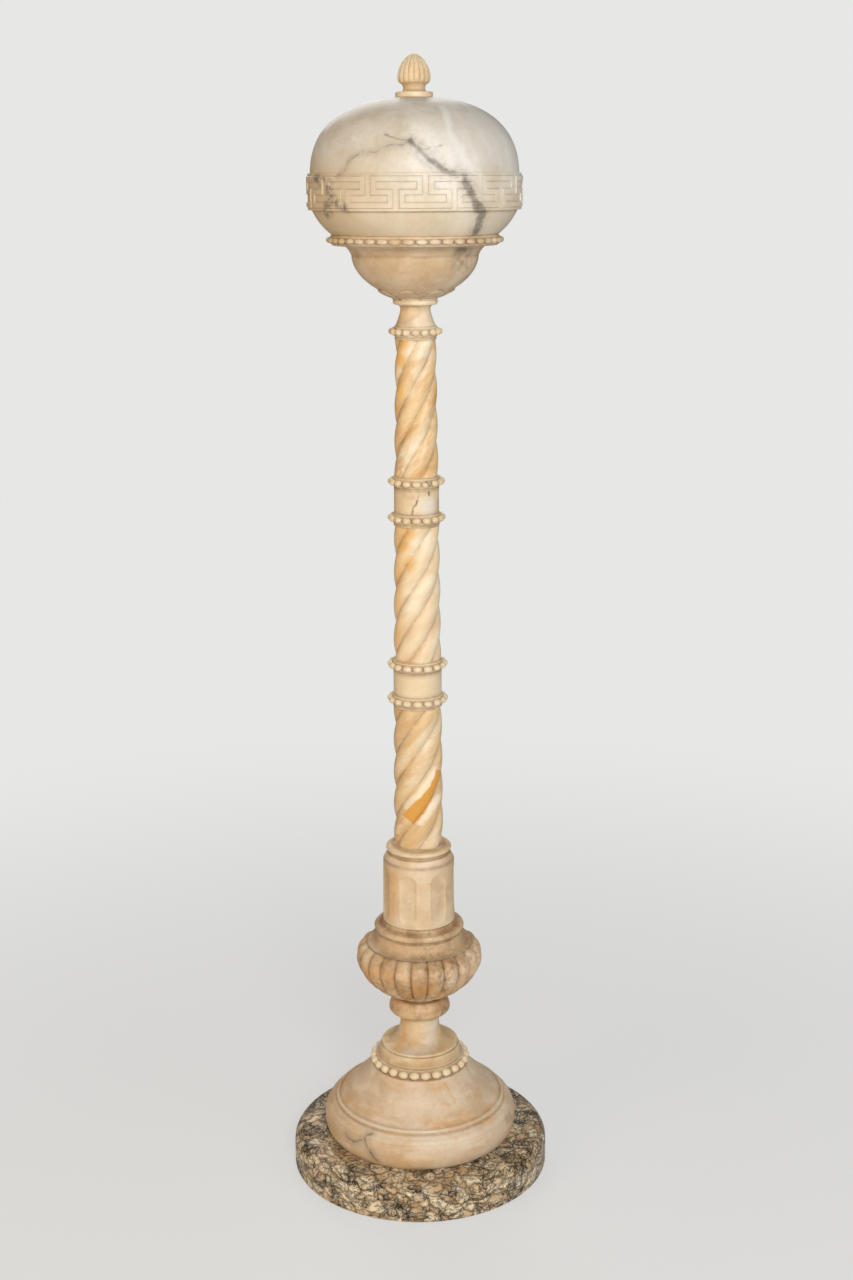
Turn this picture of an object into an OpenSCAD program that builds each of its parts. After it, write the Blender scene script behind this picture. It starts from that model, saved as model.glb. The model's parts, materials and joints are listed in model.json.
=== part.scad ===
// Neoclassical alabaster floor lamp: a lidded globe and bowl on three rope-twist shafts,
// a gadrooned urn and a marble plinth, all threaded on one steel tube.
// Sizes are in millimetres, +Z is up, and the origin is the middle of the underside.
// The front of the lamp faces -Y and the cord inlet is at the back, +Y.

/* [Plinth] */
// Diameter of the marble plinth
plinth_d = 404; // [340:1:480]
// Height of the marble plinth
plinth_h = 53; // [42:1:64]
// Radius of the plinth's rounded top edge
plinth_round = 18; // [6:1:22]
// Thickness of the felt under the plinth
felt_t = 2; // [1:0.5:4]
// Distance from the plinth's edge to the felt
felt_inset = 12; // [6:1:30]
// Diameter of the recess that hides the lower nut
recess_d = 80; // [64:1:110]
// Depth of the recess that hides the lower nut
recess_h = 20; // [17:1:24]

/* [Cord inlet] */
// Bore of the inlet bush
bush_bore_d = 8; // [6:0.5:9]
// Outer diameter of the bush's body
bush_d = 12; // [10.5:0.5:13]
// Length of the bush's body behind its flange
bush_len = 24; // [12:1:40]
// Diameter of the bush's flange
bush_flange_d = 17; // [15:0.5:20]
// Thickness of the bush's flange
bush_flange_t = 2; // [1:0.5:3]
// Height of the inlet's middle above the floor
inlet_z = 13; // [12:0.5:16]
// Depth of the flange's face behind the plinth's edge
inlet_sink = 2; // [1.5:0.5:4]

/* [Tube and nuts] */
// Outer diameter of the steel tube
tube_d = 10; // [8:0.5:13]
// Bore of the steel tube
tube_bore_d = 7; // [5:0.5:7]
// Gap all round between the tube and what it passes through
tube_gap = 0.4; // [0.3:0.1:0.8]
// Diameter of the clamping washers
washer_d = 44; // [34:1:52]
// Thickness of the clamping washers
washer_t = 2.5; // [1.5:0.5:3.5]
// Width across the flats of the tube's nuts
nut_flats = 19; // [17:0.5:22]
// Height of the tube's nuts
nut_h = 6; // [4:0.5:8]
// Length of tube that stands out past its lower nut
tube_tail = 3; // [1:0.5:5]

/* [Foot] */
// Largest diameter of the foot's rounded rim
foot_d = 305; // [270:1:330]
// How far the rim's underside draws in to where it rests
foot_under = 14; // [8:1:20]
// Height of the rim's widest part above the plinth
foot_rim_mid = 26; // [20:1:34]
// Height of the foot's rounded rim
foot_rim_h = 55; // [46:1:66]
// How far the rim swells out from the ridge above it
foot_rim_swell = 18; // [12:1:24]
// Height of the thin ridge between rim and dome
foot_ridge_h = 7; // [4:0.5:9]
// Height of the foot's dome above the ridge
foot_dome_h = 53; // [44:1:66]

/* [Pedestal] */
// Height of the socle disc
socle_h = 17; // [13:1:22]
// Diameter of the socle disc at its bottom
socle_d = 133; // [124:1:138]
// Height of the waisted neck
neck_h = 53.5; // [42:0.5:64]
// Diameter of the neck's foot
neck_foot_d = 121; // [110:1:123]
// Diameter of the neck's waist
neck_waist_d = 61; // [54:1:68]
// Height of the cushion ring
cushion_h = 27; // [22:0.5:34]
// Height of the cushion ring's widest part above its bottom
cushion_mid = 8.5; // [6:0.5:14]
// Diameter of the cushion ring
cushion_d = 96; // [86:1:106]

/* [Urn] */
// Largest diameter of the urn, over the gadroons
urn_d = 197.5; // [180:0.5:220]
// Diameter of the urn's stem
urn_stem_d = 64; // [54:1:68]
// Height of the urn's stem
urn_stem_h = 7; // [4:0.5:10]
// Height of the gadrooned belly from the stem to its widest part
urn_belly_h = 62; // [50:1:74]
// Height of the gadroons' round shoulders
urn_shoulder_h = 24; // [18:1:30]
// Height of the hollow curve above the gadroons
urn_cove_h = 18.5; // [14:0.5:24]
// Diameter of the edge line at the foot of the hollow curve
urn_edge_d = 162; // [150:1:166]
// Number of gadroons
gadroons = 22; // [16:1:26]
// Depth of the valleys between the gadroons
gadroon_depth = 6; // [2:0.5:7]
// Height of the round ring on top of the urn
urn_ring_h = 21; // [17:0.5:26]
// Height of that ring's round edge
urn_ring_edge_h = 9.5; // [7:0.5:11]
// Diameter of the round ring on top of the urn
urn_ring_d = 140; // [132:1:146]

/* [Drum] */
// Diameter of the drum at its bottom
drum_d = 112; // [98:1:116]
// How much narrower the drum is at its top
drum_taper = 2; // [0:0.5:6]
// Height of the drum
drum_h = 110; // [94:1:132]
// Height of the bevel round the drum's top
drum_bevel_h = 10; // [6:0.5:12]
// Width of the bevel round the drum's top
drum_bevel = 6; // [4:0.5:8]
// Number of round-ended flutes on the drum
flutes = 7; // [5:1:8]
// Length of a flute
flute_len = 78; // [62:1:84]
// Height of a flute's lower end above the drum's bottom
flute_low = 9; // [6:1:12]
// Width of a flute
flute_w = 26; // [20:1:28]
// Depth of a flute
flute_depth = 2.6; // [2.2:0.1:3.6]
// Height of the round ring on the drum
drum_ring_h = 15; // [13:0.5:20]
// Height of that ring's round edge
drum_ring_edge_h = 8.5; // [6:0.5:9]
// Diameter of the round ring on the drum
drum_ring_d = 101; // [94:1:106]

/* [Shafts] */
// Length of the lower shaft
lower_shaft_h = 221.5; // [180:0.5:266]
// Length of the middle shaft
middle_shaft_h = 205; // [165:1:246]
// Length of the upper shaft
upper_shaft_h = 199; // [160:1:240]
// Diameter of the column at the foot of the lower shaft
column_foot_d = 76; // [70:1:82]
// Diameter of the column at the top of the upper shaft
column_top_d = 59; // [54:1:64]
// How late the column narrows, where 1 is a straight taper
column_swell = 1.4; // [1:0.1:2]
// Number of strands in the rope twist
strands = 5; // [4:1:7]
// Height that one strand climbs in a full turn
twist_lead = 255; // [200:5:340]
// Depth of the valleys between the strands
strand_depth = 4; // [2:0.5:5]

/* [Collars and bead rings] */
// Height of the lower collar between its bead rings
lower_collar_h = 35; // [28:1:42]
// Height of the upper collar between its bead rings
upper_collar_h = 35; // [28:1:42]
// Height of a bead ring on the column
column_ring_h = 19; // [17:0.5:23]
// How far the beads stand out past the column
column_bead_out = 9.5; // [8:0.5:12]
// Height of a bead on the column
column_bead_h = 9.2; // [7.6:0.2:10]
// Number of beads in a ring on the column
column_beads = 16; // [13:1:19]
// Height of the bead ring on the foot
foot_ring_h = 15; // [14:0.5:18]
// Diameter over the beads on the foot
foot_ring_d = 158; // [148:1:190]
// Height of a bead on the foot
foot_bead_h = 12.4; // [10:0.2:13.6]
// Number of beads on the foot
foot_beads = 26; // [20:1:30]

/* [Capital] */
// Height of the capital
capital_h = 38; // [30:1:46]
// Height of the capital's flange
capital_flange_h = 7.5; // [6:0.5:11]
// Diameter of the capital's waist
capital_waist_d = 43; // [38:1:48]
// Diameter of the capital's flange
capital_flange_d = 65; // [60:1:72]

/* [Bowl] */
// Diameter of the bowl's body
bowl_d = 182; // [165:1:190]
// Height of the bowl's body up to its widest part
bowl_body_h = 62; // [52:1:74]
// Height of the cup of carved leaves round the bowl's foot
bowl_cup_h = 15; // [11:0.5:19]
// Height of the flared lip above the bowl's body
bowl_lip_h = 14; // [10:1:17]
// Diameter of the bowl's flared lip
bowl_lip_d = 204; // [194:1:212]
// Wall thickness of the bowl
bowl_wall = 9; // [7:0.5:11]
// Thickness of the bowl's floor
bowl_floor = 12; // [10:1:15]
// Height of the beaded rim on the bowl
rim_h = 15; // [13:0.5:18]
// How far the rim carries the globe's foot out past the bowl's lip
rim_overhang = 17; // [12:1:22]
// How far the rim's beads stand out past the globe's foot
rim_bead_out = 8; // [6:0.5:12]
// Height of a bead on the rim
rim_bead_h = 8; // [6:0.2:9]
// Number of beads on the rim
rim_beads = 42; // [34:1:50]
// Width of the seat that carries the globe
rim_seat_w = 11; // [8:0.5:14]

/* [Globe and dome] */
// Diameter of the globe and the dome
globe_d = 296; // [270:1:356]
// Height of the globe's curved part under the key band
globe_low_h = 34; // [28:1:42]
// Height of the key band
band_h = 50; // [44:1:60]
// How far the key band stands out from the globe
band_out = 3.4; // [2.5:0.1:5]
// Height of the key pattern's relief
key_relief = 1.8; // [0.8:0.1:2.5]
// Number of repeats of the key pattern
key_repeats = 12; // [10:1:15]
// Width of the key pattern's fillet
key_fillet = 7.2; // [5:0.1:8.7]
// Height of the dome above the key band
dome_h = 102; // [84:1:123]
// Fullness of the dome's curve, where 2 is an ellipse
dome_fullness = 2.45; // [2:0.05:3]
// Wall thickness of the globe and the dome
globe_wall = 7; // [5:0.5:9]
// Depth of the lips that keep the globe and the dome from sliding off
lip_h = 7; // [4:0.5:9]
// Thickness of those lips
lip_t = 6; // [4:0.5:7]
// Gap all round between a lip and the mouth that it drops into
lip_gap = 0.6; // [0.4:0.1:1.2]

/* [Finial] */
// Height of the finial
finial_h = 59; // [48:1:70]
// Diameter of the finial's bud
bud_d = 47; // [40:1:54]
// Diameter of the finial's foot disc
finial_foot_d = 53; // [46:1:60]
// Number of reeds on the bud
reeds = 16; // [12:1:20]
// Diameter of the stud that holds the finial
stud_d = 6; // [5:0.5:8]
// Length of stud inside the finial
stud_grip = 26; // [18:1:30]
// Gap all round between the stud and what it passes through
stud_gap = 0.3; // [0.2:0.1:0.5]
// Diameter of the stud's washer
stud_washer_d = 26; // [20:1:30]
// Width across the flats of the stud's nut
stud_nut_flats = 10; // [10:0.5:13]

/* [Lampholder and bulb] */
// Room all round between the lampholder's sleeve and its outer shells
holder_room = 4.6; // [3.5:0.1:7]
// Height of the lampholder
holder_h = 58; // [52:1:66]
// Wall thickness of the lampholder's metal shells
holder_wall = 1.2; // [0.8:0.1:2]
// Diameter of the bulb's screw cap
cap_d = 26.4; // [25:0.1:27]
// Diameter of the bulb's glass
bulb_d = 60; // [45:1:70]
// Length of the bulb from its contact to its top
bulb_len = 106; // [96:1:116]

/* [Hidden] */

// Facets of a full turn where a round is drawn as true circles
smooth = 96;
// Steps along one curved stretch of an outline
curve_steps = 12;
// Extra length of a cut past the face that it opens
cut_over = 1;
// Gap between small parts that fit inside each other
small_gap = 0.4;

// Heights of the joints between the stacked pieces, from the floor up
plinth_z = felt_t;
foot_z = plinth_z + plinth_h;
foot_h = foot_rim_h + foot_ridge_h + foot_dome_h;
foot_ring_z = foot_z + foot_h;
socle_z = foot_ring_z + foot_ring_h;
neck_z = socle_z + socle_h;
cushion_z = neck_z + neck_h;
urn_z = cushion_z + cushion_h;
urn_mid_z = urn_stem_h + urn_belly_h;
urn_edge_z = urn_mid_z + urn_shoulder_h;
urn_h = urn_edge_z + urn_cove_h;
urn_ring_z = urn_z + urn_h;
drum_z = urn_ring_z + urn_ring_h;
drum_ring_z = drum_z + drum_h;
lower_shaft_z = drum_ring_z + drum_ring_h;
ring_1_z = lower_shaft_z + lower_shaft_h;
lower_collar_z = ring_1_z + column_ring_h;
ring_2_z = lower_collar_z + lower_collar_h;
middle_shaft_z = ring_2_z + column_ring_h;
ring_3_z = middle_shaft_z + middle_shaft_h;
upper_collar_z = ring_3_z + column_ring_h;
ring_4_z = upper_collar_z + upper_collar_h;
upper_shaft_z = ring_4_z + column_ring_h;
capital_ring_z = upper_shaft_z + upper_shaft_h;
capital_z = capital_ring_z + column_ring_h;
bowl_z = capital_z + capital_h;
bowl_h = bowl_body_h + bowl_lip_h;
bowl_floor_z = bowl_z + bowl_floor;
rim_z = bowl_z + bowl_h;
globe_z = rim_z + rim_h;
globe_h = globe_low_h + band_h;
dome_z = globe_z + globe_h;
finial_z = dome_z + dome_h;

// Radius of the bore that the tube passes through in every stone piece
bore_r = tube_d / 2 + tube_gap;

// Radius of the column at a height, which narrows from foot to top
column_h = capital_ring_z + column_ring_h - lower_shaft_z;
function column_r(z) =
    let (share = pow((z - lower_shaft_z) / column_h, column_swell))
    (column_foot_d + (column_top_d - column_foot_d) * share) / 2;

// Sizes and heights of the clamping hardware and of the lampholder's neck
holder_neck_h = 9;
holder_neck_r = tube_d / 2 + 4;
base_washer_z = plinth_z + recess_h - washer_t;
base_nut_z = base_washer_z - nut_h;
bowl_nut_z = bowl_floor_z + washer_t;
holder_z = bowl_nut_z + nut_h + small_gap;
tube_z = base_nut_z - tube_tail;
tube_top_z = holder_z + holder_neck_h;

// Fits between the rim, the globe and the dome: two lips that drop into two mouths
lip_room = 2;
globe_r = globe_d / 2;
globe_foot_r = bowl_lip_d / 2 + rim_overhang;
band_r = globe_r + band_out;
globe_inner_r = globe_r - globe_wall;
rim_mouth_r = globe_foot_r - rim_seat_w;
rim_ledge_h = rim_h - lip_h - lip_room;
dome_mouth_r = globe_inner_r + 1;

// Sizes inside the lampholder, from its foot up
sleeve_wall = 0.6;
sleeve_r = cap_d / 2 + small_gap + sleeve_wall;
holder_inner_r = sleeve_r + holder_room;
holder_r = holder_inner_r + holder_wall;
holder_split_h = holder_h / 2;
core_base_h = 14;
core_step = 2;
core_z = holder_z + holder_neck_h + small_gap;
sleeve_z = core_z + core_base_h;
sleeve_h = 23;
contact_r = 5;
contact_h = 3;

// Sizes of the bulb, from its contact up
bulb_gap = 0.3;
bulb_z = sleeve_z + contact_h + bulb_gap;
bulb_tip_h = 2;
bulb_insulator_h = 4;
bulb_cap_h = 22;
bulb_cap_wall = 1.2;
bulb_glass_t = 1;
bulb_glass_z = bulb_z + bulb_tip_h + bulb_insulator_h;

// Points of an arc of an ellipse about a centre, from one angle to another
function ellipse_arc(c, a, b, from, to, n = curve_steps) =
    [for (i = [0:n]) let (t = from + (to - from) * i / n) [c[0] + a * cos(t), c[1] + b * sin(t)]];

// Points of an arc of a fuller or leaner ellipse, within the quarter from 0 to 90 degrees
function full_arc(c, a, b, p, from, to, n = curve_steps) =
    [for (i = [0:n]) let (t = from + (to - from) * i / n)
        [c[0] + a * pow(cos(t), 2 / p), c[1] + b * pow(sin(t), 2 / p)]];

// Points of a smooth bend that leaves the first point towards the second and ends at the third
function bend(p0, p1, p2, n = curve_steps) =
    [for (i = [0:n]) let (t = i / n) (1 - t) * (1 - t) * p0 + 2 * t * (1 - t) * p1 + t * t * p2];

// A turned piece at height z: an outline from its bottom edge to its top edge, with a bore
module turned(z, outline, inner = bore_r) {
    top = outline[len(outline) - 1][1];
    translate([0, 0, z])
        rotate_extrude($fn = smooth)
            polygon(concat([[inner, outline[0][1]]], outline, [[inner, top]]));
}

// A flat ring with a round hole
module flat_ring(z, outer_r, inner_r, h) {
    turned(z, [[outer_r, 0], [outer_r, h]], inner_r);
}

// A round moulding that swells to its widest at one height and draws in below and above it
module swelled_ring(z, d, h, mid, low_in, high_in) {
    r = d / 2;
    turned(z, concat(
        ellipse_arc([r - low_in, mid], low_in, mid, -90, 0),
        ellipse_arc([r - high_in, mid], high_in, h - mid, 0, 90)
    ));
}

// A ring on a plain seat: its round edge stands out, and a hollow slope leads from it to the ring's top
ring_seat_h = 4;
ring_step = 1;
module edged_ring(z, d, h, edge_h, edge_out, top_r) {
    seat_r = d / 2 - edge_out;
    edge_top = ring_seat_h + edge_h;
    turned(z, concat(
        [[seat_r, 0]],
        ellipse_arc([seat_r, ring_seat_h + edge_h / 2], edge_out, edge_h / 2, -90, 90),
        bend([seat_r, edge_top], [top_r, edge_top], [top_r, h])
    ));
}

// A hexagon nut with a round hole
module hex_nut(z, flats, h, hole_r) {
    translate([0, 0, z])
        difference() {
            cylinder(h = h, d = flats / cos(30), $fn = 6);
            translate([0, 0, -cut_over])
                cylinder(h = h + 2 * cut_over, r = hole_r, $fn = smooth);
        }
}

// One olive-shaped bead, whose long axis is Y
module olive(half_len, half_h) {
    arc_r = (half_h * half_h + half_len * half_len) / (2 * half_h);
    rotate([90, 0, 0])
        rotate_extrude($fn = smooth)
            intersection() {
                translate([half_h - arc_r, 0])
                    circle(arc_r, $fn = smooth);
                translate([0, -half_len])
                    square([half_h, 2 * half_len]);
            }
}

// Beads round a ring: the share of the ring that they fill, and the band that hides their tips
bead_fill = 0.92;
bead_sink = 0.3;
function bead_half_len(tip_r, bead_h, count) = bead_fill * PI * (tip_r - bead_h / 2) / count;
function bead_band_r(tip_r, bead_h, count) =
    norm([tip_r - bead_h / 2, bead_half_len(tip_r, bead_h, count)]) + bead_sink;

module bead_row(z, tip_r, bead_h, count) {
    for (i = [0:count - 1])
        rotate(360 * i / count)
            translate([tip_r - bead_h / 2, 0, z])
                olive(bead_half_len(tip_r, bead_h, count), bead_h / 2);
}

// A bead ring on the column: a fillet, a slope out to the beads, and a slope back to the column
ring_fillet_h = 2.5;
ring_fillet_out = 0.5;
ring_top_out = 1;
ring_bead_share = 0.6;
module column_ring(z) {
    h = column_ring_h;
    low_r = column_r(z) + ring_fillet_out;
    tip_r = column_r(z) + column_bead_out;
    band = bead_band_r(tip_r, column_bead_h, column_beads);
    mid = h * ring_bead_share;
    turned(z, [
        [low_r, 0], [low_r, ring_fillet_h], [low_r - 1, ring_fillet_h],
        [band, mid - column_bead_h / 2], [band, mid + column_bead_h / 2],
        [column_r(z + h) + ring_top_out, h]
    ]);
    bead_row(z + mid, tip_r, column_bead_h, column_beads);
}

// The cross-section of a rope-twist shaft: one circle a strand, meeting in valleys of the set depth
function strand_valley(r, c) =
    let (half = 180 / strands) c * cos(half) + sqrt(pow(r - c, 2) - pow(c * sin(half), 2));
function strand_centre(r, low, high, n = 24) =
    let (mid = (low + high) / 2)
    n == 0 ? mid
    : r - strand_valley(r, mid) < strand_depth ? strand_centre(r, mid, high, n - 1)
    : strand_centre(r, low, mid, n - 1);

strand_facets = 26;
module strand_section(r) {
    c = strand_centre(r, 0, r / 2);
    for (i = [0:strands - 1])
        rotate(360 * i / strands)
            translate([c, 0])
                circle(r - c, $fn = strand_facets);
}

// A rope-twist shaft that carries on the turn and taper of the column below it
shaft_slices = 26;
strand_turn = 10;
module rope_shaft(z, h) {
    r0 = column_r(z);
    r1 = column_r(z + h);
    translate([0, 0, z])
        difference() {
            rotate(strand_turn + 360 * (z - lower_shaft_z) / twist_lead)
                linear_extrude(h, twist = -360 * h / twist_lead, scale = r1 / r0, slices = shaft_slices)
                    strand_section(r0);
            translate([0, 0, -cut_over])
                cylinder(h = h + 2 * cut_over, r = bore_r, $fn = smooth);
        }
}

// A closed skin over rows of points, each row a full turn at one height
module lofted(rows) {
    n = len(rows[0]);
    m = len(rows);
    sides = [for (j = [0:m - 2], i = [0:n - 1])
        let (a = j * n + i, b = j * n + (i + 1) % n)
        each [[a, a + n, b], [b, a + n, b + n]]];
    bottom = [for (i = [0:n - 1]) i];
    top = [for (i = [n - 1:-1:0]) (m - 1) * n + i];
    polyhedron([for (row = rows) each row], concat([bottom, top], sides), convexity = 6);
}

// One such row: a ring of round lobes that meet in valleys of the set depth
function lobed_row(r, z, depth, lobes, points) =
    [for (i = [0:lobes * points - 1]) let (
            a = 360 * i / (lobes * points),
            k = r - depth * (1 - abs(cos(a * lobes / 2))))
        [k * cos(a), k * sin(a), z]];

// Felt, plinth and inlet
plinth_chamfer = 1;
inlet_y = plinth_d / 2 - bush_flange_t - inlet_sink;

module base_felt() {
    color("darkolivegreen")
        flat_ring(0, plinth_d / 2 - felt_inset, recess_d / 2, felt_t);
}

module inlet_cut(y, r) {
    translate([0, y, inlet_z])
        rotate([-90, 0, 0])
            cylinder(h = plinth_d / 2, r = r + small_gap, $fn = smooth);
}

module marble_plinth() {
    r = plinth_d / 2;
    color("tan")
        difference() {
            turned(plinth_z, concat(
                [[r - plinth_chamfer, 0], [r, plinth_chamfer]],
                ellipse_arc([r - plinth_round, plinth_h - plinth_round],
                    plinth_round, plinth_round, 0, 90)
            ));
            translate([0, 0, plinth_z - cut_over])
                cylinder(h = recess_h + cut_over, d = recess_d, $fn = smooth);
            inlet_cut(0, bush_d / 2);
            inlet_cut(inlet_y, bush_flange_d / 2);
        }
}

module cord_bush() {
    bore = bush_bore_d / 2;
    body_r = bush_d / 2;
    flange_r = bush_flange_d / 2;
    edge = 0.6;
    color("darkgoldenrod")
        translate([0, inlet_y, inlet_z])
            rotate([-90, 0, 0])
                rotate_extrude($fn = smooth)
                    polygon([
                        [bore, -bush_len], [body_r, -bush_len], [body_r, 0], [flange_r, 0],
                        [flange_r, bush_flange_t - edge], [flange_r - edge, bush_flange_t],
                        [bore, bush_flange_t]
                    ]);
}

// The tube and what clamps the stack on it
module base_washer() {
    color("lightslategray")
        flat_ring(base_washer_z, washer_d / 2, bore_r, washer_t);
}

module base_nut() {
    color("goldenrod")
        hex_nut(base_nut_z, nut_flats, nut_h, bore_r);
}

module centre_tube() {
    color("silver")
        flat_ring(tube_z, tube_d / 2, tube_bore_d / 2, tube_top_z - tube_z);
}

module bowl_washer() {
    color("lightslategray")
        flat_ring(bowl_floor_z, washer_d / 2, bore_r, washer_t);
}

module bowl_nut() {
    color("goldenrod")
        hex_nut(bowl_nut_z, nut_flats, nut_h, bore_r);
}

// The foot: a swelling rim, a thin round ridge and a dome that rises to the seat of the bead ring
foot_rim_lean = 1.8;
foot_ridge_out = 3.5;
foot_dome_flare = [9, -14];
foot_band_r = bead_band_r(foot_ring_d / 2, foot_bead_h, foot_beads);
foot_top_r = foot_band_r + 3;

module foot() {
    rim_r = foot_d / 2;
    ridge_r = rim_r - foot_rim_swell;
    base_r = rim_r - foot_under;
    dome_edge = [ridge_r - foot_ridge_out, foot_rim_h + foot_ridge_h];
    dome_top = [foot_top_r, foot_h];
    color("wheat")
        turned(foot_z, concat(
            ellipse_arc([base_r, foot_rim_mid], foot_under, foot_rim_mid, -90, 0),
            full_arc([ridge_r, foot_rim_mid], foot_rim_swell, foot_rim_h - foot_rim_mid,
                foot_rim_lean, 0, 90),
            ellipse_arc([ridge_r - foot_ridge_out, foot_rim_h + foot_ridge_h / 2],
                foot_ridge_out, foot_ridge_h / 2, -90, 90),
            bend(dome_edge, dome_top + foot_dome_flare, dome_top)
        ));
}

// Beads on a band that draws in above and below them
foot_band_in = 5;
foot_band_h = 6;
module foot_bead_ring() {
    mid = foot_ring_h / 2;
    color("bisque") {
        turned(foot_ring_z, [
            [foot_band_r - foot_band_in, 0], [foot_band_r, mid - foot_band_h / 2],
            [foot_band_r, mid + foot_band_h / 2], [foot_band_r - foot_band_in, foot_ring_h]
        ]);
        bead_row(foot_ring_z + mid, foot_ring_d / 2, foot_bead_h, foot_beads);
    }
}

socle_edge_h = 3;
socle_slope_in = 4.5;
module foot_socle() {
    r = socle_d / 2;
    color("wheat")
        turned(socle_z, [
            [r, 0], [r, socle_edge_h], [r - 1, socle_edge_h + 1],
            [r - socle_slope_in, socle_h - 1], [r - socle_slope_in - 1, socle_h]
        ]);
}

neck_edge_h = 3;
neck_flare = 4;
module pedestal_neck() {
    foot_r = neck_foot_d / 2;
    waist_r = neck_waist_d / 2;
    color("wheat")
        turned(neck_z, concat(
            [[foot_r, 0], [foot_r, neck_edge_h]],
            bend([foot_r - 1, neck_edge_h + 1], [waist_r, neck_edge_h + 1], [waist_r, neck_h * 0.8]),
            bend([waist_r, neck_h * 0.9], [waist_r, neck_h], [waist_r + neck_flare, neck_h])
        ));
}

cushion_low_in = 13;
cushion_high_in = 15;
module cushion_ring() {
    color("wheat")
        swelled_ring(cushion_z, cushion_d, cushion_h, cushion_mid, cushion_low_in, cushion_high_in);
}

// The urn: one skin whose radius follows the stem, the belly, the round shoulders and the hollow curve
urn_lean = 1.71;
urn_lobe_points = 6;
urn_belly_rows = 10;
urn_shoulder_rows = 5;
urn_cove_rows = 4;
urn_ring_seat = 4;
urn_turn = -90;
urn_r = urn_d / 2;
urn_stem_r = urn_stem_d / 2;
urn_edge_r = urn_edge_d / 2;
urn_top_r = urn_ring_d / 2 - urn_ring_seat;

function gadroon_fade(r) = gadroon_depth * (r - urn_stem_r) / (urn_r - urn_stem_r);
function urn_row(r, z, depth) = lobed_row(r, z, depth, gadroons, urn_lobe_points);

module urn() {
    belly = full_arc([urn_stem_r, urn_mid_z], urn_r - urn_stem_r, -urn_belly_h, urn_lean,
        90, 0, urn_belly_rows);
    shoulder = ellipse_arc([urn_edge_r, urn_mid_z], urn_r - urn_edge_r, urn_shoulder_h,
        0, 90, urn_shoulder_rows);
    cove = bend([urn_edge_r, urn_edge_z], [urn_top_r, urn_edge_z], [urn_top_r, urn_h], urn_cove_rows);
    rows = concat(
        [urn_row(urn_stem_r, 0, 0)],
        [for (p = belly) urn_row(p[0], p[1], gadroon_fade(p[0]))],
        [for (i = [1:urn_shoulder_rows - 1]) urn_row(shoulder[i][0], shoulder[i][1], gadroon_depth)],
        [for (p = cove) urn_row(p[0], p[1], 0)]
    );
    color("tan")
        translate([0, 0, urn_z])
            rotate([0, 0, urn_turn])
                difference() {
                    lofted(rows);
                    translate([0, 0, -cut_over])
                        cylinder(h = urn_h + 2 * cut_over, r = bore_r, $fn = smooth);
                }
}

module urn_ring() {
    color("wheat")
        edged_ring(urn_ring_z, urn_ring_d, urn_ring_h, urn_ring_edge_h, urn_ring_seat,
            drum_d / 2 + ring_step);
}

// The drum, with shallow flutes cut by a long capsule that sinks in to the flute's depth
flute_turn = 18;
drum_r = drum_d / 2;
flute_sag = drum_r - sqrt(drum_r * drum_r - flute_w * flute_w / 4);
flute_hollow = flute_depth - flute_sag;
flute_r = (flute_w * flute_w / 4 + flute_hollow * flute_hollow) / (2 * flute_hollow);
flute_end = sqrt(2 * flute_r * flute_depth - flute_depth * flute_depth);

module flute_cutter() {
    straight = flute_len - 2 * flute_end;
    translate([drum_r - flute_depth + flute_r, 0, flute_end]) {
        cylinder(h = straight, r = flute_r, $fn = smooth);
        sphere(flute_r, $fn = smooth);
        translate([0, 0, straight])
            sphere(flute_r, $fn = smooth);
    }
}

module fluted_drum() {
    top_r = drum_r - drum_taper / 2;
    color("bisque")
        difference() {
            turned(drum_z, [
                [drum_r, 0], [top_r, drum_h - drum_bevel_h], [top_r - drum_bevel, drum_h]
            ]);
            for (i = [0:flutes - 1])
                rotate(360 * i / flutes - 90 - flute_turn)
                    translate([0, 0, drum_z + flute_low])
                        flute_cutter();
        }
}

drum_ring_in = 6;
module drum_ring() {
    color("bisque")
        edged_ring(drum_ring_z, drum_ring_d, drum_ring_h, drum_ring_edge_h, drum_ring_in,
            column_foot_d / 2 + ring_step);
}

// Shafts, collars and bead rings of the column
module lower_shaft() {
    color("moccasin")
        rope_shaft(lower_shaft_z, lower_shaft_h);
}

module middle_shaft() {
    color("moccasin")
        rope_shaft(middle_shaft_z, middle_shaft_h);
}

module upper_shaft() {
    color("moccasin")
        rope_shaft(upper_shaft_z, upper_shaft_h);
}

module lower_collar_bottom_ring() {
    color("wheat")
        column_ring(ring_1_z);
}

module lower_collar() {
    color("blanchedalmond")
        flat_ring(lower_collar_z, column_r(lower_collar_z), bore_r, lower_collar_h);
}

module lower_collar_top_ring() {
    color("wheat")
        column_ring(ring_2_z);
}

module upper_collar_bottom_ring() {
    color("wheat")
        column_ring(ring_3_z);
}

module upper_collar() {
    color("blanchedalmond")
        flat_ring(upper_collar_z, column_r(upper_collar_z), bore_r, upper_collar_h);
}

module upper_collar_top_ring() {
    color("wheat")
        column_ring(ring_4_z);
}

module capital_bead_ring() {
    color("wheat")
        column_ring(capital_ring_z);
}

capital_edge = 3;
capital_flare = [3, 10];
module capital() {
    waist_r = capital_waist_d / 2;
    edge_r = capital_flange_d / 2 - capital_edge;
    flange_z = capital_h - capital_flange_h;
    waist_z = flange_z * 0.75;
    color("wheat")
        turned(capital_z, concat(
            bend([column_top_d / 2, 0], [waist_r, 0] + capital_flare, [waist_r, waist_z]),
            bend([waist_r, waist_z], [waist_r, flange_z], [edge_r, flange_z]),
            ellipse_arc([edge_r, flange_z + capital_flange_h / 2],
                capital_edge, capital_flange_h / 2, -90, 90)
        ));
}

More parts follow.
